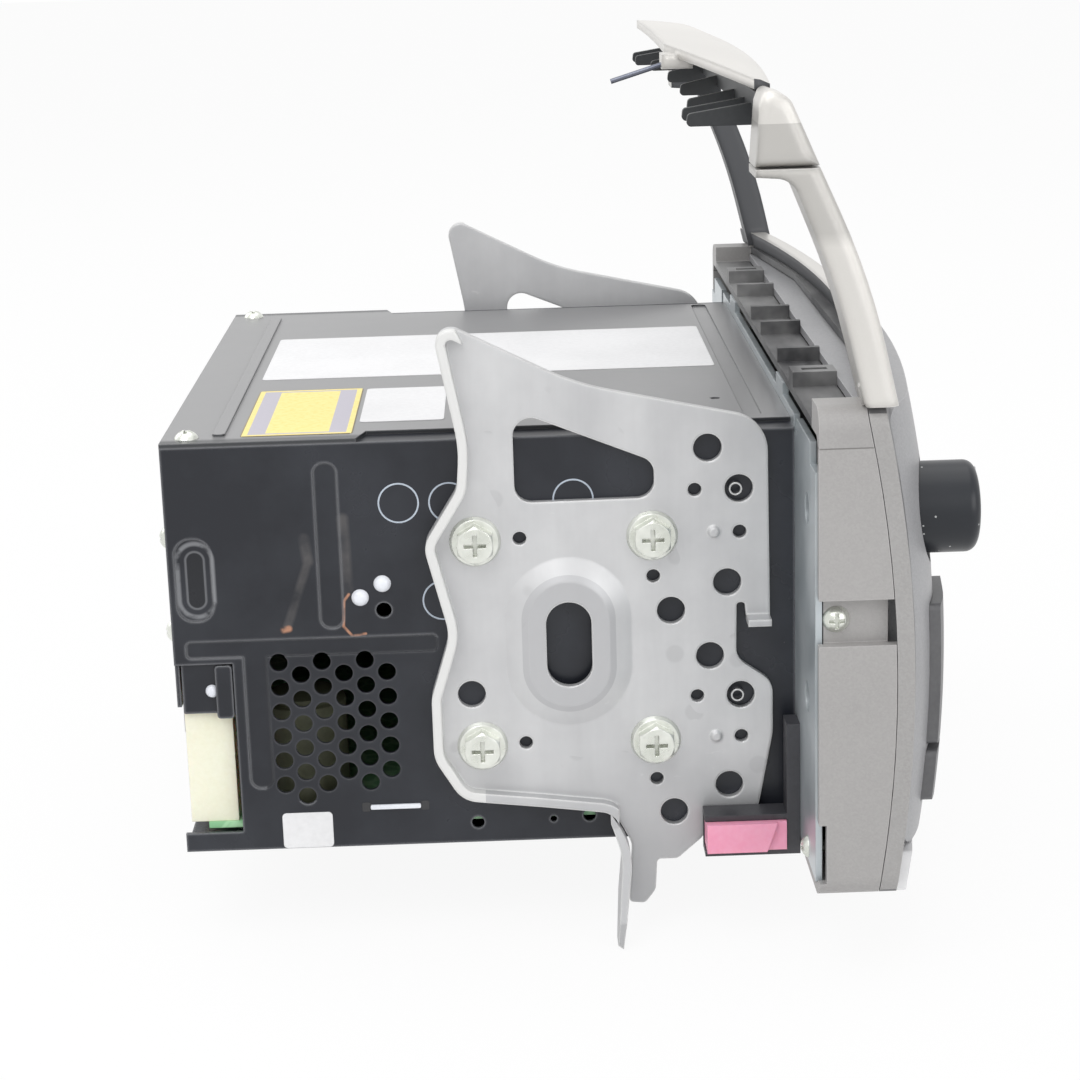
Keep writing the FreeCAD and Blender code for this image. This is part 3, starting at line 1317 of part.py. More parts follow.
def sled_motor():
    """Motor in line with the lead screw, on a small foot."""
    end = block_low[0] - 0.4
    can = rod("x", (screw_y, screw_z), 5.6, (end - 20, end))
    foot = box((end - 18, end - 2), (screw_y - 4, screw_y + 4), (deck_top, screw_z - 3))
    bore = rod("x", (screw_y, screw_z), d.rail_radius + d.running_gap, (end - 4, end + 1))
    return cut(fuse(can, foot), bore)


def gear_outline(teeth, module, x, phase):
    """Trapezoid teeth about the X axis, slimmer than half the pitch so that a pair runs free."""
    pitch_radius = teeth * module / 2
    tip = pitch_radius + 0.85 * module
    foot = pitch_radius - 1.15 * module
    step = 2 * math.pi / teeth
    points = []
    for tooth in range(teeth):
        middle = phase + tooth * step
        for radius, share in ((foot, -0.30), (tip, -0.11), (tip, 0.11), (foot, 0.30)):
            angle = middle + share * step
            points.append(Vector(x, radius * math.cos(angle), radius * math.sin(angle)))
    return Part.Face(Part.makePolygon(points + points[:1]))


def gear(teeth, module, width, x, y, z, phase):
    wheel = gear_outline(teeth, module, x, phase).extrude(Vector(width, 0, 0))
    wheel.translate(Vector(0, y, z))
    return made(wheel, "Gear")


gear_low = d.deck_half + 1.0
gear_numbers = SimpleNamespace(
    teeth=int(number_of(d.gear_teeth)), pinion=int(number_of(d.pinion_teeth)),
    module=number_of(d.gear_module), width=number_of(d.gear_width), x=number_of(gear_low),
    y=number_of(d.roller_y), z=number_of(d.roller_z))


def loading_roller():
    """Waisted rubber roller on a steel shaft with the gear at its right end."""
    reach = 62.0
    centre = (d.roller_y, d.roller_z)
    left = cone("x", centre, d.roller_radius, d.roller_waist, (-reach, 0.0))
    right = cone("x", centre, d.roller_waist, d.roller_radius, (0.0, reach))
    shaft = rod("x", centre, d.rail_radius, (-wall_out - 1.5, gear_low + d.gear_width))
    g = gear_numbers
    wheel = gear(g.teeth, g.module, g.width, g.x, g.y, g.z, 0.0)
    return fuse(left, right, shaft, wheel)


def drive_pinion():
    """Pinion on the loading motor's shaft, meshed with the roller gear."""
    g = gear_numbers
    wheel = gear(g.pinion, g.module, g.width, g.x, number_of(pinion_y), g.z, math.pi / g.pinion)
    shaft = rod("x", (pinion_y, d.roller_z), pinion_shaft, (wall_in - 5, gear_low + 1))
    return fuse(wheel, shaft)


def loading_motor():
    """Flat motor inside the deck wall."""
    can = rod("x", (pinion_y, d.roller_z), 5.4, (wall_in - 11, wall_in))
    bore = rod("x", (pinion_y, d.roller_z), pinion_shaft + d.running_gap, (wall_in - 6, wall_in + 1))
    return cut(can, bore)


# Side bracket: pressed sheet with a window, an oval dish, a folded rim and a leg

def bracket_corners():
    """Outline of the left bracket as (y, z, radius), starting at the top and going forward."""
    return [
        (82.8, 77.9, 3.5), (50.0, 61.2, 60.0), (6.4, 51.6, 9.0), (6.1, 4.2, 0.5), (11.6, 4.2, 0.5),
        (12.0, 8.2, 0.8), (13.9, 8.2, 0.8), (14.1, -5.5, 5.0), (5.6, -11.5, 5.0), (5.6, -24.0, 10.0),
        (9.2, -42.9, 2.0), (20.3, -44.2, 1.0), (22.6, -50.0, 3.0), (28.6, -55.2, 2.0), (33.5, -55.2, 1.0),
        (34.0, -63.0, 3.0), (36.6, -66.4, 1.5), (40.4, -66.0, 1.0), (39.4, -51.0, 6.0),
        (44.0, -42.0, 5.0), (60.0, -39.9, 30.0), (79.5, -37.6, 7.0), (85.8, -27.0, 9.0),
        (85.8, -12.0, 8.0), (80.9, 3.4, 12.0), (86.2, 25.0, 6.0), (78.0, 38.0, 7.0), (77.2, 48.0, 30.0)]


def bracket_window():
    return [(64.8, 55.8, 4.2), (32.6, 42.6, 4.0), (32.6, 34.0, 4.0), (64.8, 33.8, 4.0)]


def side_bracket():
    """Left bracket as one pressed sheet, its inner face on the case side."""
    inner = -number_of(half_case)
    thick = number_of(d.bracket_thick)
    outer = inner - thick
    outline = rounded_outline(bracket_corners(), outer)
    sheet = Part.Face(outline)
    plate = sheet.extrude(Vector(thick, 0, 0))
    rim = sheet.cut(Part.Face(outline.makeOffset2D(-2.2))).extrude(Vector(-3.0, 0, 0))
    rear_zone = plate_of([(42.5, -52.0, 0), (100, -52.0, 0), (100, 90, 0), (84.0, 90, 0), (70.0, 60, 0),
                          (70.0, -30.0, 0), (42.5, -30.0, 0)], outer + 1, 10)
    lip = rim.common(rear_zone)
    window = plate_of(bracket_window(), inner + 1, thick + 2)
    middle = number_of(d.bolt_y + d.bolt_pitch_y / 2) - 0.6
    dish_size = (number_of(d.dish_width), number_of(d.dish_height))
    slope = number_of(d.dish_slope)
    rise = number_of(d.dish_rise)
    low_oval = oval(*dish_size, middle, 0.0, outer)
    high_oval = oval(dish_size[0] - 2 * slope, dish_size[1] - 2 * slope, middle, 0.0, outer - rise)
    dish = Part.makeLoft([low_oval, high_oval], True, True)
    low_inner = oval(*dish_size, middle, 0.0, inner)
    high_inner = oval(dish_size[0] - 2 * slope, dish_size[1] - 2 * slope, middle, 0.0, inner - rise)
    hollow = Part.makeLoft([low_inner, high_inner], True, True)
    slot_wire = oval(number_of(d.dish_slot_width), number_of(d.dish_slot_height), middle, 0.0, inner + 1)
    slot = Part.Face(slot_wire).extrude(Vector(-thick - rise - 3, 0, 0))

    along_x = Vector(-1, 0, 0)
    drills = []
    unit = number_of(d.unit_pitch)
    bolt_y = number_of(d.bolt_y)
    bolt_row = (bolt_y, bolt_y + number_of(d.bolt_pitch_y))
    for base in (-unit / 2, unit / 2):
        for y in bolt_row:
            drills.append((y, base, number_of(d.bolt_radius) + number_of(d.running_gap)))
        for y, z in ((16.0, -11.8), (29.2, -18.2), (20.2, 20.4), (13.1, 10.6)):
            drills.append((y, base + z, number_of(d.big_hole)))
        for y, z in ((33.2, -9.7), (23.3, 10.6), (13.0, 0.3), (64.0, 0.4)):
            drills.append((y, base + z, number_of(d.small_hole)))
    drills.append((76.4, -12.1, number_of(d.big_hole)))
    tools = [window, slot]
    for y, z, radius in drills:
        tools.append(Part.makeCylinder(radius, thick + 2, Vector(inner + 1, y, z), along_x))
    dimples = []
    for base in (-unit / 2, unit / 2):
        dimples.append(Part.makeCone(1.7, 0.9, 0.9, Vector(outer + 0.1, 19.0, base + 0.4), along_x))

    blade = [(44.5, -42.2, 0.0), (44.5, -44.8, 0.0), (42.0, -52.0, 12.0), (43.9, -71.5, 0.0),
             (42.6, -number_of(d.leg_tip), 0.0), (39.4, -51.0, 14.0)]
    reach = number_of(d.leg_reach)
    leg = plate_of(blade, outer + 0.5, reach + 0.5)
    side_view = [Vector(outer + 1, 0, -40), Vector(outer + 1, 0, -62), Vector(outer - reach + 3, 0, -74),
                 Vector(outer - reach, 0, -74), Vector(outer - reach, 0, -66), Vector(outer - 3, 0, -46),
                 Vector(outer - 3, 0, -40)]
    leg = leg.common(Part.Face(Part.makePolygon(side_view + side_view[:1])).extrude(Vector(0, 90, 0)))

    shape = plate.fuse([dish, lip, leg] + dimples)
    shape = shape.cut([hollow] + tools)
    tab = Part.makeBox(7.0, 5.4, 1.6, Vector(outer - 5.0, 6.2, 3.6))
    shape = shape.fuse(tab).removeSplitter()
    return made(shape, "Bracket")


def bracket_bolts():
    """Eight flange bolts through the brackets into the case."""
    bolt = flange_bolt(number_of(d.bolt_flange), number_of(d.bolt_radius), number_of(d.bracket_thick) + 5)
    seat = number_of(half_case + d.bracket_thick)
    shapes = []
    for side in (-1, 1):
        for y in (d.bolt_y, d.bolt_y + d.bolt_pitch_y):
            for z in (-d.unit_pitch / 2, d.unit_pitch / 2):
                shapes.append(set_down(bolt, side * seat, number_of(y), number_of(z), (side, 0, 0)))
    return made(Part.makeCompound(shapes), "Bolts")


def case_screws():
    """Pan head screws of the cover and the rear panel."""
    screw = pan_screw(2.9, 2.0, 1.5, 4.0)
    shapes = []
    y = number_of(d.case_depth - d.cover_screw_inset)
    for x in (-number_of(d.cover_screw_x), number_of(d.cover_screw_x)):
        shapes.append(set_down(screw, x, y, number_of(half_height), (0, 0, 1)))
    for x, z in rear_screws:
        shapes.append(set_down(screw, x, number_of(d.case_depth), z, (0, 1, 0)))
    return made(Part.makeCompound(shapes), "Screws")


def fascia_screws():
    """Screws in the fascia's side recesses and at the clip brackets."""
    side = pan_screw(3.05, 2.2, 1.5, 5.5)
    clip = pan_screw(2.7, 1.7, 1.5, 4.5)
    floor_x = number_of(half_fascia - d.side_slot_depth)
    shapes = []
    for sign in (-1, 1):
        shapes.append(set_down(side, sign * floor_x, side_screw_y, side_screw_z, (sign, 0, 0)))
        shapes.append(set_down(clip, sign * number_of(clip_screw_x), 0.0, clip_screw_z, (0, 1, 0)))
    return made(Part.makeCompound(shapes), "Screws")


# Retaining clips under the brackets' front ends

def clip_bracket():
    """Left clip bracket: channel with a riser on the front plate."""
    x = (-d.clip_outer, -d.clip_inner)
    top = box(x, (0.0, d.clip_length), (-d.clip_top - d.clip_shell, -d.clip_top))
    bottom = box(x, (0.0, d.clip_length), (-d.clip_bottom, -d.clip_bottom + d.clip_shell))
    riser = box((-d.clip_outer, -d.clip_inner), (0.0, 3.2), (-d.clip_bottom, -19.7))
    inner = box((-d.clip_inner - 1.4, -d.clip_inner), (0.0, d.clip_length), (-d.clip_bottom, -d.clip_top))
    window = box((-d.clip_outer + 3, -d.clip_inner - 3), (-1.0, 4.2), (-35.0, -24.0))
    return cut(fuse(top, bottom, riser, inner), window)


def retaining_clip():
    """Left clip block with a sloped nose, held in the channel."""
    low = -d.clip_bottom + d.clip_shell + 0.1
    high = -d.clip_top - d.clip_shell - 0.1
    block = box((-d.clip_outer - 2.2, -d.clip_inner - 1.5), (3.3, d.clip_length - 0.3), (low, high))
    relief = box((-d.clip_outer + 1.5, -d.clip_inner - 4), (8.0, d.clip_length + 1), (low + 2, high - 2))
    nose = made(plate_of([(1.0, number_of(low) - 1, 0), (8.4, number_of(low) - 1, 0),
                          (5.2, number_of(high) + 1, 0), (1.0, number_of(high) + 1, 0)],
                         -number_of(d.clip_outer) - 0.9, 3.0), "Nose")
    return cut(block, relief, nose)


# Vent surround and upper trim

def arm_corners():
    """Side profile of an arm as (y, z, radius): two long arcs and a shoulder under the joint."""
    joint = number_of(d.arm_joint_z)
    return [(-17.9, 61.5, 0.0), (-11.9, 88.6, 160.0), (-1.1, joint, 0.0), (12.6, joint, 0.0),
            (12.6, joint - 1.7, 0.0), (4.9, joint - 2.3, 5.0), (-4.7, 86.5, 160.0), (-10.7, 61.5, 0.0)]


def surround_arm():
    """Right arm, its outer long edges rounded."""
    outer = number_of(half_fascia)
    shape = plate_of(arm_corners(), outer, number_of(d.arm_width))
    for height, radius in ((66.6, 2.4), (101.6, 1.3)):
        start = min((edge for edge in shape.Edges if abs(edge.CenterOfMass.x - outer) < 1e-3),
                    key=lambda edge: abs(edge.CenterOfMass.z - height))
        shape = shape.makeFillet(radius, [start])
    return made(shape, "Arm")


def vent_surround():
    """Silver arms and the lower bar that follows the fascia's curve."""
    right = surround_arm()
    bar = bowed_piece((-half_fascia + 2, half_fascia - 2), (d.fascia_top, d.fascia_top + d.bar_height),
                      d.web_front - 4, d.bezel_setback + 0.3, 1.0)
    bow_cut(bar, d.bezel_setback + 4.8, BELOW_ALL, ABOVE_ALL, behind=True)
    return fuse(right, mirrored(right), bar)


lid_front_y = 3.4
lid_front_z = 126.4
lid_ridge_y = 10.0
lid_ridge_z = 129.4
lid_rear_z = 132.0
lid_end_y = (8.0, 11.2)


def corner_piece():
    """Right corner piece on its arm, the outer edges in front rounded."""
    joint = number_of(d.arm_joint_z + d.arm_joint_gap)
    outer = number_of(half_fascia)
    profile = [(-1.0, joint, 0.0), (5.2, 127.2, 4.0), (10.4, 129.2, 1.5), (11.6, 126.0, 0.0), (12.6, joint, 0.0)]
    shape = plate_of(profile, outer, number_of(d.arm_width))
    edges = [edge for edge in shape.Edges
             if abs(edge.CenterOfMass.x - outer) < 1e-3 and edge.CenterOfMass.y < 6.0 and edge.Length > 6]
    return shape.makeFillet(2.2, edges)


def crowned_lid():
    """Sheet turned about an axis far below, trimmed to its plan between the corner pieces."""
    outer = number_of(half_fascia)
    inner = outer - number_of(d.arm_width)
    thick = number_of(d.lid_thick)
    crown = number_of(d.lid_crown)
    rear_y = number_of(d.lid_rear_y)
    rear_half = number_of(d.lid_rear_half)
    upper = [(lid_front_y - 1.0, lid_front_z - 0.45), (lid_ridge_y, lid_ridge_z), (rear_y, lid_rear_z)]
    lower = [(y, z - thick) for y, z in reversed(upper)]
    section = [Vector(0, y, z + crown) for y, z in upper + lower]
    face = Part.Face(Part.makePolygon(section + section[:1]))
    radius = outer * outer / (2 * crown)
    half_turn = math.degrees(math.asin(outer / radius))
    centre = Vector(0, 0, lid_ridge_z + crown - radius)
    face.rotate(centre, Vector(0, 1, 0), -half_turn)
    sheet = face.revolve(centre, Vector(0, 1, 0), 2 * half_turn)
    end_front, end_rear = lid_end_y
    below = lid_front_z - 20
    front_edge = Part.Arc(Vector(-inner, end_front, below), Vector(0, lid_front_y, below),
                          Vector(inner, end_front, below))
    rest = [Vector(inner, end_front, below), Vector(inner, end_rear, below), Vector(rear_half, rear_y, below),
            Vector(-rear_half, rear_y, below), Vector(-inner, end_rear, below), Vector(-inner, end_front, below)]
    plan = Part.Face(Part.Wire([front_edge.toShape()] + Part.makePolygon(rest).Edges))
    return sheet.common(plan.extrude(Vector(0, 0, 60)))


def upper_trim_panel():
    """Corner pieces on the arms, the crowned lid between them and the boss of the pin."""
    right = corner_piece()
    left = right.mirror(Vector(0, 0, 0), Vector(1, 0, 0))
    boss = Part.makeBox(8.0, 7.2, 3.4, Vector(pin_x - 4.0, number_of(d.lid_rear_y) - 6.0, 129.2))
    shape = crowned_lid().fuse([left, right, boss]).removeSplitter()
    return made(shape.cut(pin_solid()), "Trim")


blades = ((104.0, 25.0), (90.0, 25.0), (66.0, 22.0), (22.0, 20.3))


def trim_ribs():
    """Dark blades that stand out behind a cross rail under the lid."""
    rail_half = number_of(half_fascia - d.arm_width) - 0.2
    thick = number_of(d.rib_thick)
    low = number_of(d.rib_low)
    rail_rear = 11.0
    rail_high = 127.4
    rail_low = low + 2.2
    parts = [Part.makeBox(2 * rail_half, 2.0, rail_high - rail_low, Vector(-rail_half, rail_rear - 2.0, rail_low))]
    for x, reach in blades:
        profile = [(rail_rear - 1, low, 0.0), (reach, low, 0.9), (reach - 0.3, low + 2.7, 0.9),
                   (rail_rear - 1, low + 4.9, 0.0)]
        for middle in (-x, x):
            parts.append(plate_of(profile, middle + thick / 2, thick))
    return made(parts[0].fuse(parts[1:]).removeSplitter(), "Ribs")


pin_x = -60.0


def pin_solid():
    start = Vector(pin_x, number_of(d.lid_rear_y) - 3.0, 131.2)
    end = Vector(pin_x, 39.1, 126.5)
    along = end - start
    return Part.makeCylinder(number_of(d.pin_radius), along.Length, start, along)


def locating_pin():
    """Thin pin that points back and down from its seat in the lid's left boss."""
    return made(pin_solid(), "Pin")


def build():
    node(case_shell(), "chassis_shell")
    node(top_cover(), "top_cover")
    node(rear_panel(), "rear_panel")
    node(front_plate(), "front_plate")
    node(fascia_housing(), "fascia_housing")
    node(front_bezel(), "front_bezel")
    node(control_panel(), "control_panel")
    node(display_lens(), "display_lens")
    node(lower_strip(), "lower_light_guide")
    node(display_module(), "display_module")
    node(front_board(), "front_board")
    node(push_switches(), "push_switches")
    node(rotary_encoders(), "rotary_encoders")
    node(disc_guide(), "disc_guide")
    node(volume_plunger(), "volume_plunger")
    node(encoder_shaft(-d.knob_x), "volume_shaft")
    node(knob(-d.knob_x), "volume_knob")
    node(encoder_shaft(d.knob_x), "tune_shaft")
    node(knob(d.knob_x), "tune_knob")
    for label, edges, heights in button_outlines():
        node(button(edges, heights), label)
    node(main_board(), "main_board")
    node(line_choke(), "line_choke")
    node(harness_connector(), "harness_connector")
    node(antenna_socket(), "antenna_socket")
    node(heat_sink(), "heat_sink")
    node(mech_shelf(), "mech_shelf")
    node(deck_dampers(), "deck_dampers")
    node(deck_frame(), "deck_frame")
    node(spindle_motor(), "spindle_motor")
    node(turntable(), "turntable")
    node(clamp_arm(), "clamp_arm")
    node(clamp_puck(), "clamp_puck")
    node(sled_rails(), "sled_rails")
    node(pickup_sled(), "pickup_sled")
    node(lead_screw(), "lead_screw")
    node(sled_motor(), "sled_motor")
    node(loading_roller(), "loading_roller")
    node(drive_pinion(), "drive_pinion")
    node(loading_motor(), "loading_motor")
    left_bracket = node(side_bracket(), "left_bracket")
    node(mirrored(left_bracket), "right_bracket")
    node(bracket_bolts(), "bracket_bolts")
    node(case_screws(), "case_screws")
    node(fascia_screws(), "fascia_screws")
    clip_holder = clip_bracket()
    node(group(clip_holder, mirrored(clip_holder)), "clip_brackets")
    clip = retaining_clip()
    node(group(clip, mirrored(clip)), "retaining_clips")
    node(vent_surround(), "vent_surround")
    node(upper_trim_panel(), "upper_trim_panel")
    node(trim_ribs(), "trim_ribs")
    node(locating_pin(), "locating_pin")


def check_and_write():
    """Stop on any failed object or broken shape, then write one file for each piece."""
    doc.recompute()
    for thing in doc.Objects:
        if "Invalid" in thing.State or "Error" in thing.State:
            raise RuntimeError(f"{thing.Name} ({thing.Label}) failed: {thing.State}")
    for part in nodes:
        if part.Shape.isNull() or not part.Shape.isValid():
            raise RuntimeError(f"{part.Label} has no valid shape")
        if not part.Shape.Solids:
            raise RuntimeError(f"{part.Label} has no solid")
    os.makedirs("parts", exist_ok=True)
    for part in nodes:
        part.Shape.exportStep(f"parts/{part.Label}.step")
    print(len(nodes), "pieces written")


build()
check_and_write()
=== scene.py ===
import math

import bmesh
import bpy
from mathutils import Matrix, Vector


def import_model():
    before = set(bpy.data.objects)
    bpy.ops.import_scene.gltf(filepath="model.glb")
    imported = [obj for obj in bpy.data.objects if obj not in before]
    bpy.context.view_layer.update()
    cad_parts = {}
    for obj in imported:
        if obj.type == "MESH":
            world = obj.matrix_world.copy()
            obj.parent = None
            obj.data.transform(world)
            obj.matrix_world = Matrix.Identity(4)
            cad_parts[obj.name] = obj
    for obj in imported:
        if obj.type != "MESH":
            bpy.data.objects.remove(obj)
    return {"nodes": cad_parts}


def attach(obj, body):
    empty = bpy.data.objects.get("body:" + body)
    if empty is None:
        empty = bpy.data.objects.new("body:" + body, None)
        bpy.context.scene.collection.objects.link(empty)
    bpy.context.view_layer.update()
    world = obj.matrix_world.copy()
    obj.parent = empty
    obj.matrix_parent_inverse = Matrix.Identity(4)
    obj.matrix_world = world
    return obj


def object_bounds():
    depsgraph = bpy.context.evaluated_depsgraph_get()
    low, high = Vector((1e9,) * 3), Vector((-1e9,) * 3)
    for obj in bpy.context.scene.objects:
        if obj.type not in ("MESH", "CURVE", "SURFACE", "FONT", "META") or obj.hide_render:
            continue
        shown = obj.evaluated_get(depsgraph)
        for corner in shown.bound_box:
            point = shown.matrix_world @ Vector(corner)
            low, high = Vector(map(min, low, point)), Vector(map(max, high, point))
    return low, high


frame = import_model()
cad_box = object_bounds()

MM = 0.001

# Curved front surface, in metres
FRONT_REACH = 0.0375
BOW_RADIUS = 0.730
CROWN_RADIUS = 0.304
CROWN_HEIGHT = -0.0024

# Case and cover, in millimetres; marks on the case side are (y, z)
CASE_SIDE = -89.0
COVER_TOP = 50.0
# Half width in x beyond which the painted sheen on the cover's top fades out.
SHEEN_SIDE = (86.6, 84.6)
STAMP = ((139.6, 12.5), (139.6, 22.0))
STAMP_OUTER = 4.1
STAMP_INNER = 2.1
VENT_LOW = (72.0, -38.0)
VENT_HIGH = (126.0, 1.5)
WIPES = (
    ((114.0, 26.5), (113.3, 21.0), 1.6),
    ((113.3, 21.0), (118.8, 5.6), 1.3),
    ((104.8, 31.0), (104.4, 14.0), 1.7),
)
RUST = (
    ((119.8, 4.7), (118.6, 4.9), 1.0),
    ((104.2, 12.8), (105.4, 11.2), 0.42),
    ((105.4, 11.2), (105.8, 5.0), 0.42),
    ((105.8, 5.0), (103.8, 2.6), 0.42),
    ((103.8, 2.6), (100.7, 3.1), 0.42),
)
SIDE_RINGS = ((91.7, 34.3), (80.0, 34.1), (51.3, 33.9), (82.3, 10.6))
SIDE_RIVETS = ((96.3, 15.1), (101.6, 11.9))

# Stickers on the cover: two corners (x, y) each
LONG_LABEL = ((-16.0, 11.8), (43.0, 128.8))
SMALL_LABEL = ((-72.0, 80.8), (-32.0, 100.8))
YELLOW_LABEL = ((-84.0, 101.8), (-31.0, 127.8))
LABEL_CORNER = 1.2
LABEL_THICK = 0.12

# Brackets, in millimetres
DISH_FACE = 93.3
DISH_Y = 54.4
DISH_REACH = (16.0, 22.0)
LIP = (91.4, 74.0, -44.0)
THREAD_Y = 13.9
THREAD_HEIGHTS = (-14.4, 35.6)
THREAD_DEPTH = 90.9

# Front housing, bezel, panel and silver arms, in millimetres
TROUGH_HALF = 116.5
TROUGH_FLOOR = 53.0
HOUSING_JOINT = 52.8
HOUSING_CAP = 52.9
HOUSING_SIDE = 120.0
BEZEL_SIDE = 127.6
BEZEL_TOP = 60.9
BEZEL_LOW = -50.5
KNOB_X = 100.0
KNOB_Z = 32.0
KNOB_FACE = -39.5
ARM_INNER = (114.5, 115.15)
ARM_SIDE = 110.0
ARM_LOW = 62.0
BAR_TOP = 67.0
BAR_HALF = 114.6
ARM_TOP = 111.0
CORNER_PIECE = (96.0, 99.0, 122.0)
KEY_PITCH = 21.4
KEY_Z = -23.0

AMBIENT = 0.62
LAMPS = (
    ("key", (-0.9, 0.5, 1.2), (1.0, 1.0), 9.0),
    ("fill", (-1.1, -0.9, 0.5), (1.0, 0.8), 5.0),
    ("rear_fill", (0.8, 1.2, 0.9), (1.0, 1.0), 4.0),
    ("overhead", (0.15, 0.05, 1.2), (1.2, 1.2), 4.6),
)
LAMP_TARGET = (0.0, 0.05, 0.0)

CAMERA_PLACE = (-0.6369, 0.06564, 0.16984)
VIEW_DIRECTION = (0.96643, -0.0113, -0.25668)
VIEW_UP = (0.25617, -0.03419, 0.96603)
LENS_MM = 81.39
SENSOR_MM = 36.0


class Value:
    """A socket that can be used in sums, each sum adding its Math node."""

    def __init__(self, tree, socket):
        self.tree = tree
        self.socket = socket

    def join(self, operation, *others, clamp=False, swapped=False):
        node = self.tree.nodes.new("ShaderNodeMath")
        node.operation = operation
        node.use_clamp = clamp
        terms = [self, *others]
        if swapped:
            terms.reverse()
        for socket, term in zip(node.inputs, terms):
            feed(self.tree, socket, term)
        return Value(self.tree, node.outputs[0])

    def __add__(self, other):
        return self.join("ADD", other)

    def __sub__(self, other):
        return self.join("SUBTRACT", other)

    def __rsub__(self, other):
        return self.join("SUBTRACT", other, swapped=True)

    def __mul__(self, other):
        return self.join("MULTIPLY", other)

    def __gt__(self, other):
        return self.join("GREATER_THAN", other)

    def __lt__(self, other):
        return self.join("LESS_THAN", other)

    __radd__ = __add__
    __rmul__ = __mul__

    def least(self, other):
        return self.join("MINIMUM", other)

    def most(self, other):
        return self.join("MAXIMUM", other)

    def size(self):
        return self.join("ABSOLUTE")

    def root(self):
        return self.join("SQRT")

    def within(self):
        """The same value held between 0 and 1."""
        return self.join("ADD", 0.0, clamp=True)

    def rise(self, low, high):
        """0 below low, 1 above high and a straight ramp between them; falls if high is the lower."""
        return ((self - low) * (1.0 / (high - low))).within()


def feed(tree, socket, value):
    if isinstance(value, Value):
        tree.links.new(value.socket, socket)
    elif isinstance(value, bpy.types.NodeSocket):
        tree.links.new(value, socket)
    elif hasattr(value, "__len__") and socket.type == "RGBA":
        socket.default_value = (*value[:3], 1.0)
    else:
        socket.default_value = value


class Finish:
    """One material: its Principled shader and the nodes that drive it."""

    def __init__(self, name):
        self.material = bpy.data.materials.new(name)
        self.material.use_nodes = True
        self.tree = self.material.node_tree
        self.shader = self.tree.nodes["Principled BSDF"]
        self.places = None

    def node(self, kind, settings=None, **inputs):
        """Any node: first its settings, then its sockets by name with underscores for spaces."""
        node = self.tree.nodes.new(kind)
        for key, value in (settings or {}).items():
            setattr(node, key, value)
        for key, value in inputs.items():
            feed(self.tree, node.inputs[key.replace("_", " ")], value)
        return node

    def place(self):
        if self.places is None:
            self.places = self.node("ShaderNodeTexCoord").outputs["Object"]
        return self.places

    def axes(self):
        """X, Y and Z of the surface, in millimetres."""
        split = self.node("ShaderNodeSeparateXYZ", Vector=self.place())
        return [Value(self.tree, socket) * 1000.0 for socket in split.outputs]

    def stretched(self, scale):
        return self.node("ShaderNodeMapping", Vector=self.place(), Scale=scale).outputs[0]

    def noise(self, scale, detail=3.0, roughness=0.55, stretch=None):
        vector = self.stretched(stretch) if stretch else self.place()
        node = self.node("ShaderNodeTexNoise", Vector=vector, Scale=scale, Detail=detail,
                         Roughness=roughness)
        return Value(self.tree, node.outputs["Fac"])

    def cells(self, scale, feature="F1", output="Distance"):
        node = self.node("ShaderNodeTexVoronoi", {"feature": feature}, Vector=self.place(), Scale=scale)
        return Value(self.tree, node.outputs[output])

    def blend(self, first, second, amount):
        node = self.node("ShaderNodeMix", {"data_type": "RGBA"})
        feed(self.tree, node.inputs["Factor"], amount)
        feed(self.tree, node.inputs[6], first)
        feed(self.tree, node.inputs[7], second)
        return node.outputs[2]

    def relief(self, height, depth, strength=1.0, rounding=0.25):
        """Bump of the given depth over edges that look rounded, both in millimetres."""
        rounded = self.node("ShaderNodeBevel", {"samples": 4}, Radius=rounding * MM).outputs[0]
        bump = self.node("ShaderNodeBump", Strength=strength, Distance=depth * MM, Height=height,
                         Normal=rounded)
        feed(self.tree, self.shader.inputs["Normal"], bump.outputs[0])

    def facing(self, axis):
        """How far the flat face points along an axis, from -1 to 1."""
        plain = self.node("ShaderNodeNewGeometry").outputs["True Normal"]
        return Value(self.tree, self.node("ShaderNodeSeparateXYZ", Vector=plain).outputs[axis])

    def edges(self, width):
        """1 along sharp edges, 0 on plain faces; width in millimetres."""
        rounded = self.node("ShaderNodeBevel", {"samples": 6}, Radius=width * MM).outputs[0]
        plain = self.node("ShaderNodeNewGeometry").outputs["True Normal"]
        turn = self.node("ShaderNodeVectorMath", {"operation": "DOT_PRODUCT"})
        feed(self.tree, turn.inputs[0], rounded)
        feed(self.tree, turn.inputs[1], plain)
        return Value(self.tree, turn.outputs["Value"]).rise(0.985, 0.80)

    def give(self, **inputs):
        for key, value in inputs.items():
            feed(self.tree, self.shader.inputs[key.replace("_", " ")], value)
        return self.material


def lined(first, second, amount):
    """Between two numbers by an amount that may be a Value."""
    return first + (second - first) * amount


# Finishes

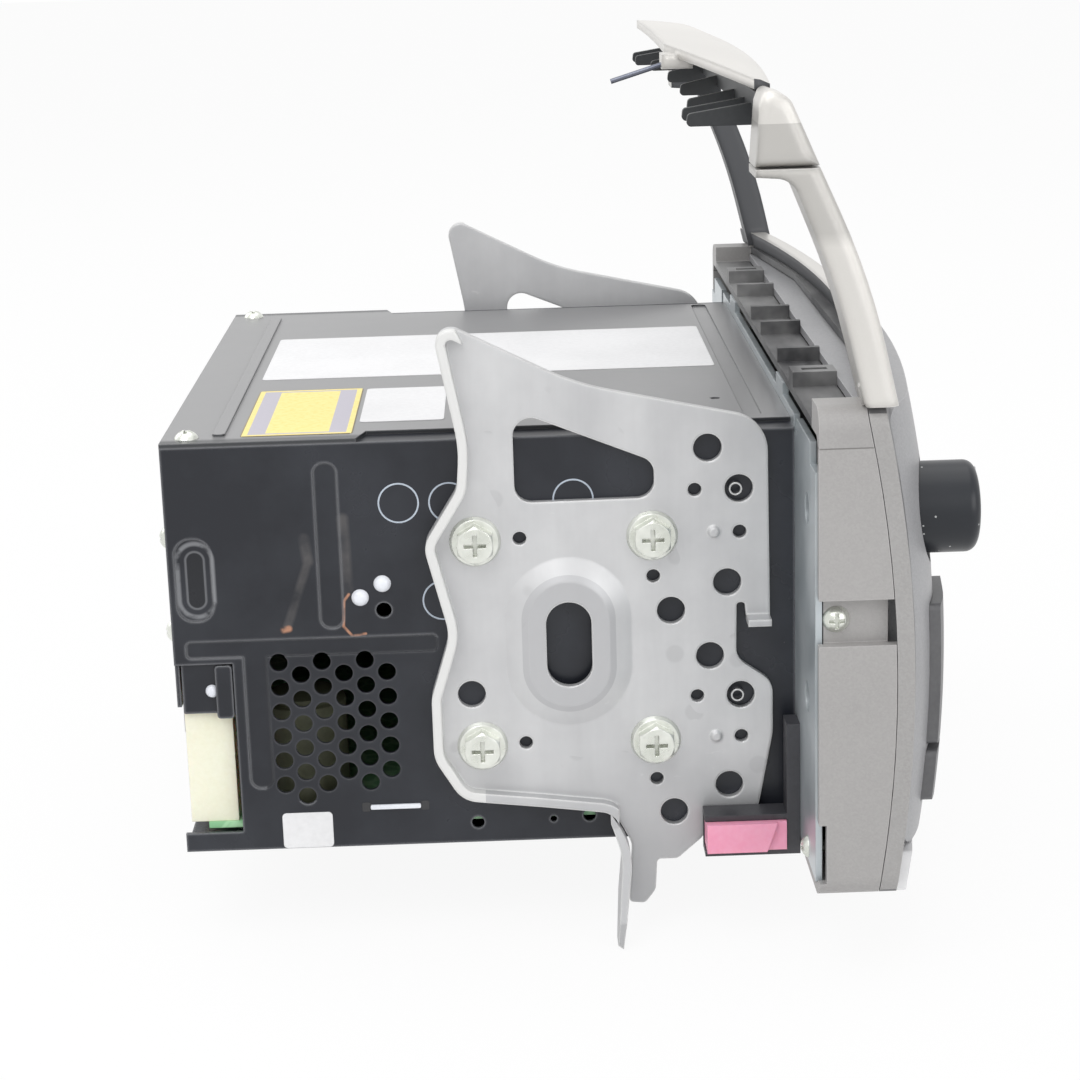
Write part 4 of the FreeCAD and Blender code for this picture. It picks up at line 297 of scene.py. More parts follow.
def black_case_coat():
    """Thin black coat on steel sheet, with handling marks and rust spots; painted highlights along the
    edges and round the pressed oval, painted shade inside the oval.
    """
    finish = Finish("black_case_coat")
    x, y, z = finish.axes()
    outside = x < CASE_SIDE + 1.0
    smudge = finish.noise(28.0, 5.0).rise(0.42, 0.68)
    colour = finish.blend((0.012, 0.0135, 0.019), (0.026, 0.029, 0.037), smudge)
    wiped = strokes(y, z, WIPES) * outside * finish.noise(120.0, 4.0).rise(0.25, 0.75)
    colour = finish.blend(colour, (0.115, 0.108, 0.106), wiped * 0.9)
    rust = strokes(y, z, RUST) * outside * finish.noise(500.0, 3.0).rise(0.30, 0.60)
    colour = finish.blend(colour, (0.42, 0.21, 0.13), rust)
    vents = (y > VENT_LOW[0]) * (y < VENT_HIGH[0]) * (z < VENT_HIGH[1]) * (z > VENT_LOW[1])
    # Painted highlight: lighter colour along the bead and sheet edges, fainter over the vent holes.
    edge = finish.edges(1.1)
    colour = finish.blend(colour, (0.22, 0.225, 0.24), edge * (0.8 - vents * 0.62))
    # Painted highlight: a lighter ring round the oval and round its inner hollow.
    rim = capsule(y, z, *STAMP)
    glint = (rim - STAMP_OUTER).size().rise(0.75, 0.25) * finish.noise(300.0, 3.0).rise(0.30, 0.50)
    inner_rim_highlight = (rim - STAMP_INNER).size().rise(0.45, 0.15) * 0.6
    stamp_highlight = glint.most(inner_rim_highlight) * outside
    colour = finish.blend(colour, (0.40, 0.41, 0.43), stamp_highlight * 0.42)
    # Painted shade: darker inside the oval's inner hollow.
    colour = finish.blend(colour, (0.008, 0.009, 0.012), (rim < STAMP_INNER - 0.2) * outside * 0.8)
    rough = lined(0.36, 0.24, smudge) + rust * 0.3
    finish.relief(finish.noise(1400.0, 2.0), 0.02, 0.4, 0.5)
    return finish.give(Base_Color=colour, Roughness=rough, Specular_IOR_Level=0.42)


def capsule(u, v, start, end):
    """Distance from the line between two points."""
    along = (end[0] - start[0], end[1] - start[1])
    length_squared = along[0] ** 2 + along[1] ** 2
    reach = (((u - start[0]) * along[0] + (v - start[1]) * along[1]) * (1.0 / length_squared)).within()
    off_u = u - start[0] - reach * along[0]
    off_v = v - start[1] - reach * along[1]
    return (off_u * off_u + off_v * off_v).root()


def stroke(u, v, start, end, width):
    """1 on a scratch between two points, 0 away from it, with a soft edge."""
    return capsule(u, v, start, end).rise(width, width * 0.4)


def strokes(u, v, lines):
    """Several scratches, each its two points and its width."""
    marks = stroke(u, v, *lines[0])
    for line in lines[1:]:
        marks = marks.most(stroke(u, v, *line))
    return marks


def cover_coat():
    """The same black coat on the cover: its top painted grey as sheen, and its edges black with a painted
    highlight line.
    """
    finish = Finish("cover_coat")
    x, y, z = finish.axes()
    # The noise below makes the painted sheen on the top patchy and varies the roughness.
    dust = finish.noise(16.0, 6.0, 0.6).rise(0.35, 0.75)
    upward = finish.facing(2) > 0.9
    # Painted sheen: the upward faces of the top are grey instead of black, lighter towards the back.
    top = upward * (z > COVER_TOP - 2.0) * x.size().rise(*SHEEN_SIDE)
    rearward_sheen = y.rise(60.0, 130.0)
    painted_sheen = finish.blend((0.16, 0.16, 0.165), (0.25, 0.25, 0.255), (dust * 0.6 + rearward_sheen * 0.4))
    colour = finish.blend((0.014, 0.016, 0.020), painted_sheen, top)
    # Painted highlight: lighter lines along the black edges.
    colour = finish.blend(colour, (0.20, 0.205, 0.215), finish.edges(0.6) * (1.0 - top) * 0.6)
    finish.relief(finish.noise(900.0, 2.0), 0.02, 0.4, 0.4)
    return finish.give(Base_Color=colour, Roughness=lined(0.28, 0.42, dust), Specular_IOR_Level=0.8)


def bracket_galvanised():
    """Dull zinc on thick sheet: soft clouds, rolling lines, dull grey spots and pale scuffs; painted shade
    low down and on the dish, painted highlights on the rolled flange and the edges.
    """
    finish = Finish("bracket_galvanised")
    cloud = finish.noise(34.0, 5.0, 0.6)
    rolling = finish.noise(70.0, 4.0, 0.6, stretch=(1.0, 1.0, 0.12))
    tone = (cloud * 0.6 + rolling * 0.4).rise(0.34, 0.66)
    colour = finish.blend((0.50, 0.502, 0.512), (0.64, 0.642, 0.648), tone)
    x, y, z = finish.axes()
    # Painted shade: darker towards the bottom of the leg.
    colour = finish.blend(colour, (0.40, 0.402, 0.41), z.rise(-26.0, -52.0) * 0.75)
    # Painted shade on the dish's flat face.
    shaded_dish = (x.size() > DISH_FACE - 0.6) * (x.size() < DISH_FACE + 0.4)
    shaded_dish = shaded_dish * ((y - DISH_Y).size() < DISH_REACH[0]) * (z.size() < DISH_REACH[1])
    colour = finish.blend(colour, (0.44, 0.442, 0.455), shaded_dish * 0.7)
    spot_size = finish.cells(95.0)
    spots = spot_size.rise(0.24, 0.19) * (finish.noise(55.0, 2.0) > 0.56)
    colour = finish.blend(colour, (0.40, 0.40, 0.41), spots * 0.30)
    scuff = finish.noise(220.0, 4.0, 0.7, stretch=(1.0, 0.35, 1.0)).rise(0.68, 0.76)
    colour = finish.blend(colour, (0.76, 0.76, 0.76), scuff * 0.4)
    # Painted highlight on the rolled flange at the back edge.
    lit_lip = (x.size() > LIP[0]) * (y > LIP[1]) * (z > LIP[2])
    colour = finish.blend(colour, (0.80, 0.80, 0.785), lit_lip * 0.75)
    # Painted highlight: lighter along the edges.
    edge = finish.edges(0.8)
    colour = finish.blend(colour, (0.90, 0.90, 0.89), edge * 0.75)
    finish.relief(finish.noise(650.0, 3.0) + cloud * 1.5, 0.04, 0.3, 0.9)
    rough = lined(0.48, 0.34, tone)
    return finish.give(Base_Color=colour, Roughness=rough, Metallic=0.4)


def zinc_plate():
    """Bright bluish zinc on the thin front plate and the deck."""
    finish = Finish("zinc_plate")
    cloud = finish.noise(45.0, 4.0)
    colour = finish.blend((0.42, 0.465, 0.49), (0.56, 0.60, 0.62), cloud.rise(0.35, 0.65))
    finish.relief(finish.noise(500.0, 2.0), 0.02, 0.3)
    return finish.give(Base_Color=colour, Roughness=lined(0.26, 0.40, cloud), Metallic=0.55)


def bolt_zinc():
    """Yellowish passivated zinc of bolts and screws, with painted highlights on their edges."""
    finish = Finish("bolt_zinc")
    cloud = finish.noise(160.0, 3.0)
    colour = finish.blend((0.64, 0.66, 0.60), (0.82, 0.835, 0.78), cloud.rise(0.35, 0.65))
    # Painted highlight: lighter along the edges.
    edge = finish.edges(0.35)
    colour = finish.blend(colour, (0.95, 0.96, 0.92), edge * 0.8)
    finish.relief(finish.noise(900.0, 2.0), 0.03, 0.4, 0.35)
    return finish.give(Base_Color=colour, Roughness=lined(0.22, 0.34, cloud), Metallic=0.75)


def turned_steel():
    finish = Finish("turned_steel")
    lines = finish.noise(800.0, 2.0, stretch=(1.0, 1.0, 0.2))
    colour = finish.blend((0.5, 0.5, 0.5), (0.62, 0.62, 0.62), lines)
    finish.relief(lines, 0.01, 0.4)
    return finish.give(Base_Color=colour, Roughness=lined(0.22, 0.34, lines), Metallic=0.95)


def sink_aluminium():
    finish = Finish("sink_aluminium")
    drawn = finish.noise(300.0, 3.0, stretch=(1.0, 1.0, 0.05))
    colour = finish.blend((0.52, 0.52, 0.53), (0.66, 0.66, 0.67), drawn)
    finish.relief(drawn, 0.03, 0.5)
    return finish.give(Base_Color=colour, Roughness=lined(0.34, 0.5, drawn), Metallic=0.9)


def fascia_paint(name, dark, light, rough):
    """Painted plastic: fine flake in the colour and a very fine grain."""
    finish = Finish(name)
    flake = finish.cells(2600.0, output="Color")
    cloud = finish.noise(22.0, 4.0)
    colour = finish.blend(dark, light, (flake * 0.35 + cloud * 0.65).rise(0.3, 0.7))
    finish.relief(finish.noise(1800.0, 2.0), 0.015, 0.35)
    return finish, colour, lined(rough, rough + 0.10, cloud)


def housing_paint():
    """Warm grey housing with a joint line under its top, unpainted inside its trough, painted highlights on
    its outer edges.
    """
    dark, light = (0.325, 0.317, 0.312), (0.37, 0.36, 0.355)
    finish, colour, rough = fascia_paint("housing_paint", dark, light, 0.38)
    x, y, z = finish.axes()
    inner = (x.size() < TROUGH_HALF) * (z > TROUGH_FLOOR)
    worn = finish.noise(45.0, 4.0, stretch=(0.25, 1.0, 1.0)).rise(0.40, 0.62)
    bare = finish.blend((0.045, 0.045, 0.048), (0.22, 0.22, 0.22), worn)
    colour = finish.blend(colour, bare, inner)
    joint = (z - HOUSING_JOINT).size().rise(0.22, 0.05) * (x.size() > HOUSING_SIDE)
    colour = finish.blend(colour, (0.10, 0.095, 0.09), joint * 0.8)
    cap = (z > HOUSING_CAP) * (x.size() > HOUSING_SIDE)
    shade = (y + 10.0).rise(-9.0, 9.0)
    colour = finish.blend(colour, (0.28, 0.272, 0.268), cap * (1.0 - shade) * 0.5)
    # Painted highlight: pale lines along the outer edges, not in the trough.
    edge = finish.edges(0.4)
    colour = finish.blend(colour, (0.62, 0.61, 0.60), edge * (1.0 - inner) * 0.6)
    return finish.give(Base_Color=colour, Roughness=rough + inner * 0.1)


def bezel_paint():
    """Same warm grey on the outside, charcoal on the face round the panel, painted highlights on the edges.
    """
    dark, light = (0.30, 0.293, 0.288), (0.36, 0.352, 0.348)
    finish, colour, rough = fascia_paint("bezel_paint", dark, light, 0.40)
    x, y, z = finish.axes()
    outer = (x.size() > BEZEL_SIDE).most(z > BEZEL_TOP).most(z < BEZEL_LOW)
    colour = finish.blend((0.12, 0.12, 0.125), colour, outer)
    # Painted highlight: lighter along the edges.
    edge = finish.edges(0.4)
    colour = finish.blend(colour, (0.55, 0.54, 0.53), edge * 0.4)
    return finish.give(Base_Color=colour, Roughness=rough)


def panel_paint():
    """Silver grey panel with painted shade in its knob wells and painted highlights on its edges."""
    dark, light = (0.27, 0.27, 0.28), (0.35, 0.35, 0.36)
    finish, colour, rough = fascia_paint("panel_paint", dark, light, 0.34)
    x, y, z = finish.axes()
    # Painted shade: darker in the knob wells.
    shaded_well = from_knob(x, z).rise(12.9, 12.6)
    colour = finish.blend(colour, (0.13, 0.13, 0.135), shaded_well)
    # Painted highlight: lighter along the edges.
    edge = finish.edges(0.5)
    colour = finish.blend(colour, (0.62, 0.62, 0.63), edge * 0.5)
    return finish.give(Base_Color=colour, Roughness=rough)


def from_knob(x, z):
    """Distance from the nearer knob's axis in front view."""
    side = x.size() - KNOB_X
    up = z - KNOB_Z
    return (side * side + up * up).root()


def silver_paint():
    """Warm metallic silver outside, dark raw plastic on the inward faces; painted shade on the corner
    piece, painted highlights on the edges.
    """
    finish = Finish("silver_paint")
    x, y, z = finish.axes()
    flake = finish.cells(3200.0, output="Color")
    cloud = finish.noise(18.0, 3.0)
    # Painted shade: the corner piece is darker.
    corner = z.rise(*CORNER_PIECE[:2]) * (z < CORNER_PIECE[2])
    colour = finish.blend((0.60, 0.585, 0.555), (0.74, 0.72, 0.69), flake * 0.08 + cloud * 0.92)
    colour = finish.blend(colour, (0.46, 0.449, 0.428), corner * 0.8)
    inward = (x.size() > ARM_INNER[0]) * (x.size() < ARM_INNER[1]) * (z > ARM_LOW)
    facing_back = finish.facing(1) > 0.35
    far_arm_or_bar = (x > ARM_SIDE).most((z < BAR_TOP) * (x.size() < BAR_HALF))
    behind = facing_back * (z < ARM_TOP) * far_arm_or_bar
    raw = inward.most(behind)
    colour = finish.blend(colour, (0.085, 0.088, 0.095), raw)
    # Painted highlight: lighter along the edges of the silver faces.
    edge = finish.edges(0.5)
    colour = finish.blend(colour, (0.88, 0.87, 0.85), edge * (1.0 - raw) * 0.6)
    finish.relief(finish.noise(2200.0, 2.0), 0.01, 0.3, 2.6)
    return finish.give(Base_Color=colour, Roughness=lined(0.30, 0.38, cloud) + raw * 0.15,
                       Metallic=0.6 - raw * 0.6)


def moulded(name, dark, light, rough, grain=900.0, depth=0.02, **more):
    """Moulded plastic or rubber with soft tone changes and a fine grain."""
    finish = Finish(name)
    cloud = finish.noise(60.0, 4.0)
    fine = finish.noise(grain, 3.0)
    colour = finish.blend(dark, light, (cloud * 0.7 + fine * 0.3).rise(0.35, 0.65))
    finish.relief(fine, depth, 0.5)
    return finish.give(Base_Color=colour, Roughness=lined(rough - 0.05, rough + 0.07, cloud), **more)


def knob_coat():
    """Soft blue black coat with a few specks of dust."""
    finish = Finish("knob_coat")
    cloud = finish.noise(60.0, 3.0)
    colour = finish.blend((0.011, 0.013, 0.017), (0.019, 0.022, 0.028), cloud)
    specks = finish.cells(420.0)
    dust = (specks < 0.10) * (finish.noise(90.0, 2.0) > 0.56)
    colour = finish.blend(colour, (0.45, 0.46, 0.46), dust)
    finish.relief(finish.noise(2600.0, 2.0), 0.01, 0.3)
    return finish.give(Base_Color=colour, Roughness=lined(0.28, 0.36, cloud), Specular_IOR_Level=0.4)


def board_finish():
    """Green board with copper runs under the mask and pale vias; its green is painted light, far lighter
    than the board's own, to make up for the shade it sits in.
    """
    finish = Finish("board_finish")
    runs = finish.cells(160.0, "DISTANCE_TO_EDGE")
    copper = runs.rise(0.10, 0.04)
    dots = finish.cells(330.0) < 0.16
    # Painted light: both greens are far lighter than the board's own colour.
    colour = finish.blend((0.26, 0.56, 0.29), (0.40, 0.70, 0.41), copper)
    colour = finish.blend(colour, (0.55, 0.53, 0.45), dots * (finish.noise(60.0, 2.0) > 0.55))
    finish.relief(copper, 0.05, 0.5)
    return finish.give(Base_Color=colour, Roughness=0.35)


def clear_strip():
    finish = Finish("clear_strip")
    cloud = finish.noise(50.0, 3.0)
    colour = finish.blend((0.86, 0.86, 0.87), (0.94, 0.94, 0.95), cloud)
    finish.relief(finish.noise(600.0, 2.0), 0.01, 0.3)
    return finish.give(Base_Color=colour, Roughness=lined(0.16, 0.28, cloud), Transmission_Weight=0.1)


def smoked_lens():
    finish = Finish("smoked_lens")
    cloud = finish.noise(30.0, 3.0)
    colour = finish.blend((0.010, 0.011, 0.014), (0.018, 0.019, 0.022), cloud)
    return finish.give(Base_Color=colour, Roughness=lined(0.05, 0.10, cloud), Coat_Weight=0.6)


def yellow_sticker():
    """Yellow sticker: thin dark rim, yellow border, a lilac grey band at each end."""
    finish = Finish("yellow_label")
    x, y, z = finish.axes()
    fibre = finish.noise(700.0, 4.0)
    (x0, y0), (x1, y1) = YELLOW_LABEL
    inset = (x - x0).least(x1 - x).least(y - y0).least(y1 - y)
    from_end = (y - y0).least(y1 - y)
    from_side = (x - x0).least(x1 - x)
    band = (from_end < 5.6).most(from_side < 2.6) * (inset > 1.5)
    colour = finish.blend((0.88, 0.74, 0.26), (0.80, 0.66, 0.18), fibre.rise(0.45, 0.75))
    colour = finish.blend(colour, (0.46, 0.44, 0.50), band)
    colour = finish.blend(colour, (0.25, 0.20, 0.10), (inset < 0.25))
    finish.relief(fibre, 0.01, 0.3)
    return finish.give(Base_Color=colour, Roughness=lined(0.38, 0.50, fibre))


def paper(name, colour, shade):
    """Printed paper: slightly uneven, with a soft sheen."""
    finish = Finish(name)
    fibre = finish.noise(700.0, 4.0)
    cloud = finish.noise(30.0, 3.0)
    mixed = finish.blend(shade, colour, (fibre * 0.4 + cloud * 0.6).rise(0.3, 0.6))
    finish.relief(fibre, 0.01, 0.3)
    return finish.give(Base_Color=mixed, Roughness=lined(0.40, 0.52, cloud))


FINISHES = {
    "case": black_case_coat(),
    "cover": cover_coat(),
    "plate": zinc_plate(),
    "bracket": bracket_galvanised(),
    "bolt": bolt_zinc(),
    "steel": turned_steel(),
    "sink": sink_aluminium(),
    "housing": housing_paint(),
    "bezel": bezel_paint(),
    "panel": panel_paint(),
    "silver": silver_paint(),
    "knob": knob_coat(),
    "board": board_finish(),
    "strip": clear_strip(),
    "lens": smoked_lens(),
    "key": moulded("key_plastic", (0.10, 0.10, 0.105), (0.14, 0.14, 0.145), 0.42),
    "inner": moulded("inner_plastic", (0.028, 0.028, 0.030), (0.042, 0.042, 0.045), 0.50),
    "rib": moulded("rib_plastic", (0.022, 0.024, 0.026), (0.034, 0.037, 0.040), 0.46),
    "clip": moulded("clip_plastic", (0.035, 0.035, 0.040), (0.055, 0.055, 0.062), 0.42),
    "pink": moulded("pink_plastic", (0.92, 0.31, 0.46), (0.96, 0.40, 0.55), 0.38,
                    Subsurface_Weight=0.1),
    "cream": moulded("cream_nylon", (0.80, 0.76, 0.58), (0.88, 0.85, 0.69), 0.42,
                     Subsurface_Weight=0.1),
    "acetal": moulded("white_acetal", (0.70, 0.70, 0.68), (0.80, 0.80, 0.78), 0.40),
    "rubber": moulded("roller_rubber", (0.045, 0.045, 0.045), (0.07, 0.07, 0.07), 0.65),
    "white": paper("white_label", (0.79, 0.79, 0.80), (0.70, 0.70, 0.71)),
    "yellow": yellow_sticker(),
    "mark": paper("pale_ink", (0.50, 0.56, 0.64), (0.36, 0.41, 0.48)),
    "enamel": moulded("rivet_enamel", (0.72, 0.74, 0.80), (0.84, 0.86, 0.90), 0.22),
    "choke": moulded("choke_olive", (0.075, 0.080, 0.045), (0.125, 0.130, 0.080), 0.50),
    "wire": moulded("pin_steel", (0.10, 0.11, 0.14), (0.18, 0.19, 0.23), 0.30, Metallic=0.8),
}

DRESSED = {
    "case": ["chassis_shell", "mech_shelf", "rear_panel"],
    "cover": ["top_cover"],
    "choke": ["line_choke"],
    "plate": ["front_plate", "deck_frame", "clamp_arm"],
    "steel": ["sled_rails", "lead_screw", "volume_shaft", "tune_shaft", "rotary_encoders", "spindle_motor",
              "sled_motor", "loading_motor", "antenna_socket"],
    "sink": ["heat_sink"],
    "housing": ["fascia_housing"],
    "bezel": ["front_bezel"],
    "panel": ["control_panel"],
    "lens": ["display_lens", "display_module"],
    "strip": ["lower_light_guide"],
    "board": ["front_board", "main_board"],
    "inner": ["push_switches", "disc_guide", "clamp_puck", "deck_dampers", "volume_plunger", "pickup_sled"],
    "key": [name for name in frame["nodes"] if name.endswith("_button") or name.startswith("preset_")],
    "knob": ["volume_knob", "tune_knob"],
    "cream": ["harness_connector"],
    "rubber": ["loading_roller"],
    "acetal": ["drive_pinion", "turntable"],
    "bracket": ["left_bracket", "right_bracket"],
    "bolt": ["bracket_bolts", "case_screws", "fascia_screws"],
    "clip": ["clip_brackets"],
    "pink": ["retaining_clips"],
    "silver": ["vent_surround", "upper_trim_panel"],
    "rib": ["trim_ribs"],
    "wire": ["locating_pin"],
}


def dress_nodes():
    for finish, nodes in DRESSED.items():
        for name in nodes:
            slots = frame["nodes"][name].material_slots
            for slot in slots:
                slot.material = FINISHES[finish]


# Small pieces that only the looks need

def piece(name, mesh_maker, finish, body="unit"):
    """Object from a filled bmesh, riding on a body."""
    mesh_maker.normal_update()
    mesh = bpy.data.meshes.new(name)
    mesh_maker.to_mesh(mesh)
    mesh_maker.free()
    thing = bpy.data.objects.new(name, mesh)
    bpy.context.scene.collection.objects.link(thing)
    mesh.materials.append(FINISHES[finish])
    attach(thing, body)
    return thing


def plate(low, high, corner, segments=4, across="z"):
    """Thin plate between two corners in millimetres, its outline rounded; thin along one axis."""
    maker = bmesh.new()
    bmesh.ops.create_cube(maker, size=1.0)
    low, high = Vector(low) * MM, Vector(high) * MM
    size = high - low
    bmesh.ops.scale(maker, vec=size, verts=maker.verts)
    bmesh.ops.translate(maker, vec=(low + high) / 2, verts=maker.verts)
    axis = "xyz".index(across)
    edges = [edge for edge in maker.edges
             if abs((edge.verts[0].co - edge.verts[1].co)[axis]) > size[axis] * 0.5]
    bmesh.ops.bevel(maker, geom=edges, offset=corner * MM, affect="EDGES", segments=segments,
                    profile=0.5, material=-1)
    return maker


def turned(profile, centre, axis, steps=32):
    """Solid of revolution: profile of (radius, along) in millimetres about an axis through centre."""
    maker = bmesh.new()
    frame_x = {"x": Vector((0, 1, 0)), "y": Vector((1, 0, 0)), "z": Vector((1, 0, 0))}[axis]
    frame_z = {"x": Vector((1, 0, 0)), "y": Vector((0, 1, 0)), "z": Vector((0, 0, 1))}[axis]
    middle = Vector(centre) * MM
    corners = [maker.verts.new(middle + (frame_x * radius + frame_z * along) * MM)
               for radius, along in profile]
    edges = [maker.edges.new(pair) for pair in zip(corners, corners[1:])]
    if profile[0] == profile[-1]:
        bmesh.ops.remove_doubles(maker, verts=maker.verts, dist=1e-7)
        edges = list(maker.edges)
    bmesh.ops.spin(maker, geom=edges, cent=middle, axis=frame_z, angle=math.tau, steps=steps,
                   use_merge=True)
    bmesh.ops.remove_doubles(maker, verts=maker.verts, dist=1e-6)
    bmesh.ops.recalc_face_normals(maker, faces=maker.faces)
    return maker


def smooth(thing, angle=35.0):
    """Shade smooth except over sharp edges."""
    limit = math.radians(angle)
    maker = bmesh.new()
    maker.from_mesh(thing.data)
    for edge in maker.edges:
        edge.smooth = len(edge.link_faces) == 2 and edge.calc_face_angle(0.0) < limit
    for face in maker.faces:
        face.smooth = True
    maker.to_mesh(thing.data)
    maker.free()
    return thing


def top_labels():
    """Bare stickers on the cover: two white ones and a yellow one."""
    stickers = (("long_label", LONG_LABEL, "white"), ("small_label", SMALL_LABEL, "white"),
                ("yellow_label", YELLOW_LABEL, "yellow"))
    for name, (low, high), finish in stickers:
        sticker = plate((*low, COVER_TOP), (*high, COVER_TOP + LABEL_THICK), LABEL_CORNER)
        piece(name, sticker, finish)


def side_plate(name, low, high, outward, inward, corner, finish, segments=4):
    """Plate on the case side between two corners (y, z), from one depth outside it to another inside."""
    maker = plate((CASE_SIDE - outward, *low), (CASE_SIDE + inward, *high), corner, segments, across="x")
    piece(name, maker, finish)


def side_marks():
    """Plain ink rings on the case side and a bare sticker at its lower edge."""
    inner, outer, height = 4.4, 4.8, -0.05
    profile = [(inner, 0.0), (inner, height), (outer, height), (outer, 0.0), (inner, 0.0)]
    for index, place in enumerate(SIDE_RINGS):
        ring = turned(profile, (CASE_SIDE, *place), "x", 40)
        smooth(piece(f"side_ring_{index + 1}", ring, "mark"))
    side_plate("edge_sticker", (110.8, -49.9), (122.8, -41.0), LABEL_THICK, 0.0, 1.0, "white")


def side_rivets():
    """Pale enamelled rivet heads, the lanced bridge below with dark plates as painted shadow in the
    openings at its ends, and the black tab with its screw.
    """
    dome = [(0.0, -1.5), (0.7, -1.42), (1.3, -1.15), (1.8, -0.65), (2.05, 0.0), (0.0, 0.0)]
    for index, place in enumerate(SIDE_RIVETS):
        rivet = turned(dome, (CASE_SIDE, *place), "x")
        smooth(piece(f"side_rivet_{index + 1}", rivet, "enamel"))
    side_plate("side_bridge", (89.6, -40.7), (101.6, -39.6), 0.5, 0.2, 0.3, "enamel", 2)
    # Painted shadow: dark plates in the openings at each end of the bridge.
    side_plate("bridge_shadow_1", (87.6, -41.3), (89.6, -39.0), 0.08, 0.1, 0.4, "inner", 2)
    side_plate("bridge_shadow_2", (101.6, -41.3), (103.6, -39.0), 0.08, 0.1, 0.4, "inner", 2)
    side_plate("corner_tab", (132.6, -16.6), (136.6, -3.6), 0.1, 0.9, 0.8, "case")
    side_plate("corner_backing", (131.0, -15.6), (144.6, -2.6), -1.2, 1.7, 0.4, "case")
    head = [(0.0, -1.0), (0.9, -0.9), (1.4, -0.55), (1.6, 0.0), (0.0, 0.0)]
    screw = turned(head, (CASE_SIDE + 1.2, 137.6, -10.1), "x")
    smooth(piece("corner_screw", screw, "enamel"))


def thread_rings():
    """Bright burr rings inside the thread holes of the brackets."""
    inner, outer, length = 1.15, 1.55, 1.2
    profile = [(inner, 0.0), (inner, length), (outer, length), (outer, 0.0), (inner, 0.0)]
    for side, word in ((-1, "left"), (1, "right")):
        for index, z in enumerate(THREAD_HEIGHTS):
            ring = turned(profile, (side * THREAD_DEPTH - length / 2, THREAD_Y, z), "x", 24)
            smooth(piece(f"{word}_thread_{index + 1}", ring, "steel"))


def front_y(x, z):
    """Y of the panel's curved surface in metres for x and z in millimetres."""
    crown = CROWN_RADIUS - math.sqrt(CROWN_RADIUS ** 2 - (z * MM - CROWN_HEIGHT) ** 2)
    reach = BOW_RADIUS - crown
    return (BOW_RADIUS - FRONT_REACH) - math.sqrt(reach ** 2 - (x * MM) ** 2)


def figure(text, name, x, z, height, body, depth=0.06, proud=2.4):
    """Raised plain figure on the curved front, laid on the surface at (x, z)."""
    curve = bpy.data.curves.new(name, "FONT")
    curve.body = text
    curve.size = height * MM
    curve.align_x = "CENTER"
    curve.align_y = "CENTER"
    curve.extrude = depth * MM
    maker_object = bpy.data.objects.new(name + "_text", curve)
    bpy.context.scene.collection.objects.link(maker_object)
    bpy.context.view_layer.update()
    mesh = bpy.data.meshes.new_from_object(maker_object)
    bpy.data.objects.remove(maker_object)
    surface_y = front_y(x, z) - proud * MM
    turn = math.asin(x * MM / BOW_RADIUS)
    tip = math.asin((z * MM - CROWN_HEIGHT) / CROWN_RADIUS)
    upright = math.radians(90) - tip
    place = Matrix.Translation((x * MM, surface_y, z * MM)) @ Matrix.Rotation(turn, 4, "Z")
    mesh.transform(place @ Matrix.Rotation(upright, 4, "X"))
    thing = bpy.data.objects.new(name, mesh)
    bpy.context.scene.collection.objects.link(thing)
    mesh.materials.clear()
    mesh.materials.append(FINISHES["white"])
    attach(thing, body)


def key_figures():
    """Plain numbers on the preset buttons."""
    count = 6
    for index in range(count):
        x = (index - (count - 1) / 2) * KEY_PITCH
        number = index + 1
        figure(str(number), f"preset_figure_{number}", x, KEY_Z, 5.0, f"preset_button_{number}_key")


def knob_lines():
    """Pointer line on each knob's face."""
    half_width, thick = 0.5, 0.22
    low, high = KNOB_Z + 4.5, KNOB_Z + 9.0
    for side, body in ((-1, "volume_dial"), (1, "tune_dial")):
        x = side * KNOB_X
        near, far = (x - half_width, KNOB_FACE - thick, low), (x + half_width, KNOB_FACE, high)
        line = plate(near, far, 0.4, across="y")
        piece(f"{body}_pointer", line, "white", body)


# Stage, lamps and camera

def seen_directly(tree, path):
    """1 for rays from the camera, a reflection or through clear plastic, 0 for the rest."""
    camera_ray = Value(tree, path.outputs["Is Camera Ray"])
    glossy_ray = Value(tree, path.outputs["Is Glossy Ray"])
    clear_ray = Value(tree, path.outputs["Is Transmission Ray"])
    return camera_ray.most(glossy_ray).most(clear_ray)


def floor_finish():
    """Pale floor that looks nearly white to the camera and lights the part as a floor does."""
    finish = Finish("studio_floor")
    cloud = finish.noise(3.0, 2.0)
    colour = finish.blend((0.86, 0.86, 0.86), (0.88, 0.88, 0.88), cloud)
    glow = finish.node("ShaderNodeEmission", Color=(1.0, 1.0, 1.0))
    mixer = finish.node("ShaderNodeMixShader")
    path = finish.node("ShaderNodeLightPath")
    feed(finish.tree, mixer.inputs[0], seen_directly(finish.tree, path) * 0.92)
    feed(finish.tree, mixer.inputs[1], finish.shader.outputs[0])
    feed(finish.tree, mixer.inputs[2], glow.outputs[0])
    feed(finish.tree, finish.tree.nodes["Material Output"].inputs["Surface"], mixer.outputs[0])
    return finish.give(Base_Color=colour, Roughness=0.8)


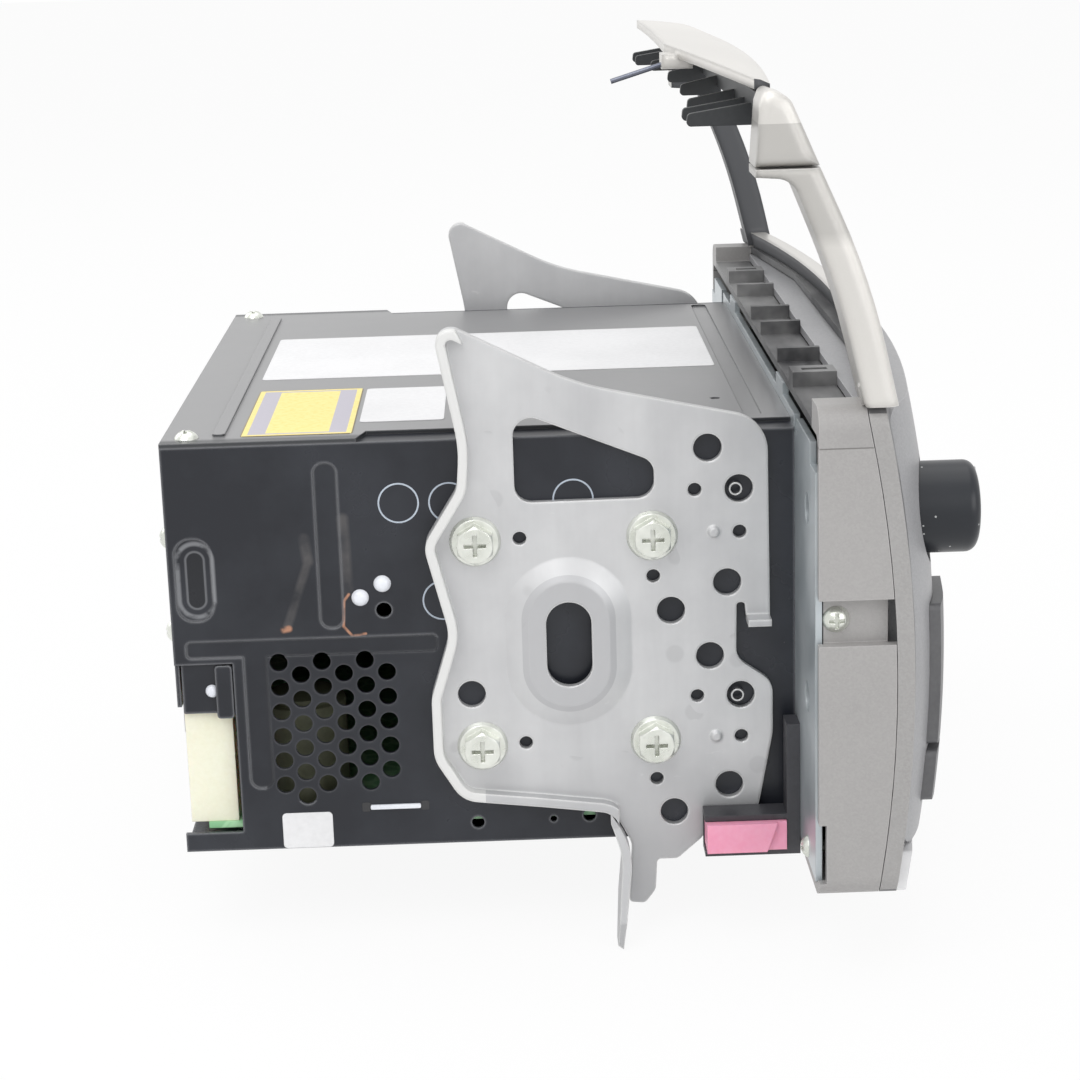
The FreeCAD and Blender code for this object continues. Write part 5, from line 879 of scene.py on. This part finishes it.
def stage():
    """Pale floor under the lowest point."""
    maker = bmesh.new()
    bmesh.ops.create_grid(maker, x_segments=8, y_segments=8, size=6.0)
    bmesh.ops.translate(maker, vec=(0, 0, cad_box[0][2] - 0.0005), verts=maker.verts)
    mesh = bpy.data.meshes.new("floor")
    maker.to_mesh(mesh)
    maker.free()
    floor = bpy.data.objects.new("floor", mesh)
    bpy.context.scene.collection.objects.link(floor)
    mesh.materials.append(floor_finish())


def world():
    """White to the camera and in reflections, softer as a light."""
    scene_world = bpy.data.worlds.new("studio")
    bpy.context.scene.world = scene_world
    scene_world.use_nodes = True
    tree = scene_world.node_tree
    background = tree.nodes["Background"]
    background.inputs["Color"].default_value = (1, 1, 1, 1)
    path = tree.nodes.new("ShaderNodeLightPath")
    strength = AMBIENT + seen_directly(tree, path) * (1.0 - AMBIENT)
    feed(tree, background.inputs["Strength"], strength)


def lamps():
    for name, place, size, watts in LAMPS:
        data = bpy.data.lights.new(name, "AREA")
        data.shape = "RECTANGLE"
        data.size, data.size_y = size
        data.energy = watts
        thing = bpy.data.objects.new(name, data)
        thing.location = place
        direction = Vector(LAMP_TARGET) - Vector(place)
        thing.rotation_euler = direction.to_track_quat("-Z", "Y").to_euler()
        bpy.context.scene.collection.objects.link(thing)


def camera():
    """Camera at the photograph's viewpoint."""
    data = bpy.data.cameras.new("photo_view")
    data.lens = LENS_MM
    data.sensor_width = SENSOR_MM
    data.clip_start = 0.01
    eye = bpy.data.objects.new("photo_view", data)
    ahead = Vector(VIEW_DIRECTION).normalized()
    right = ahead.cross(Vector(VIEW_UP)).normalized()
    up = right.cross(ahead)
    turn = Matrix((right, up, -ahead)).transposed().to_4x4()
    eye.matrix_world = Matrix.Translation(CAMERA_PLACE) @ turn
    bpy.context.scene.collection.objects.link(eye)
    bpy.context.scene.camera = eye


def colour_settings():
    bpy.context.scene.view_settings.view_transform = "Standard"


camera()
stage()
world()
lamps()
colour_settings()
dress_nodes()
top_labels()
side_marks()
side_rivets()
thread_rings()
key_figures()
knob_lines()
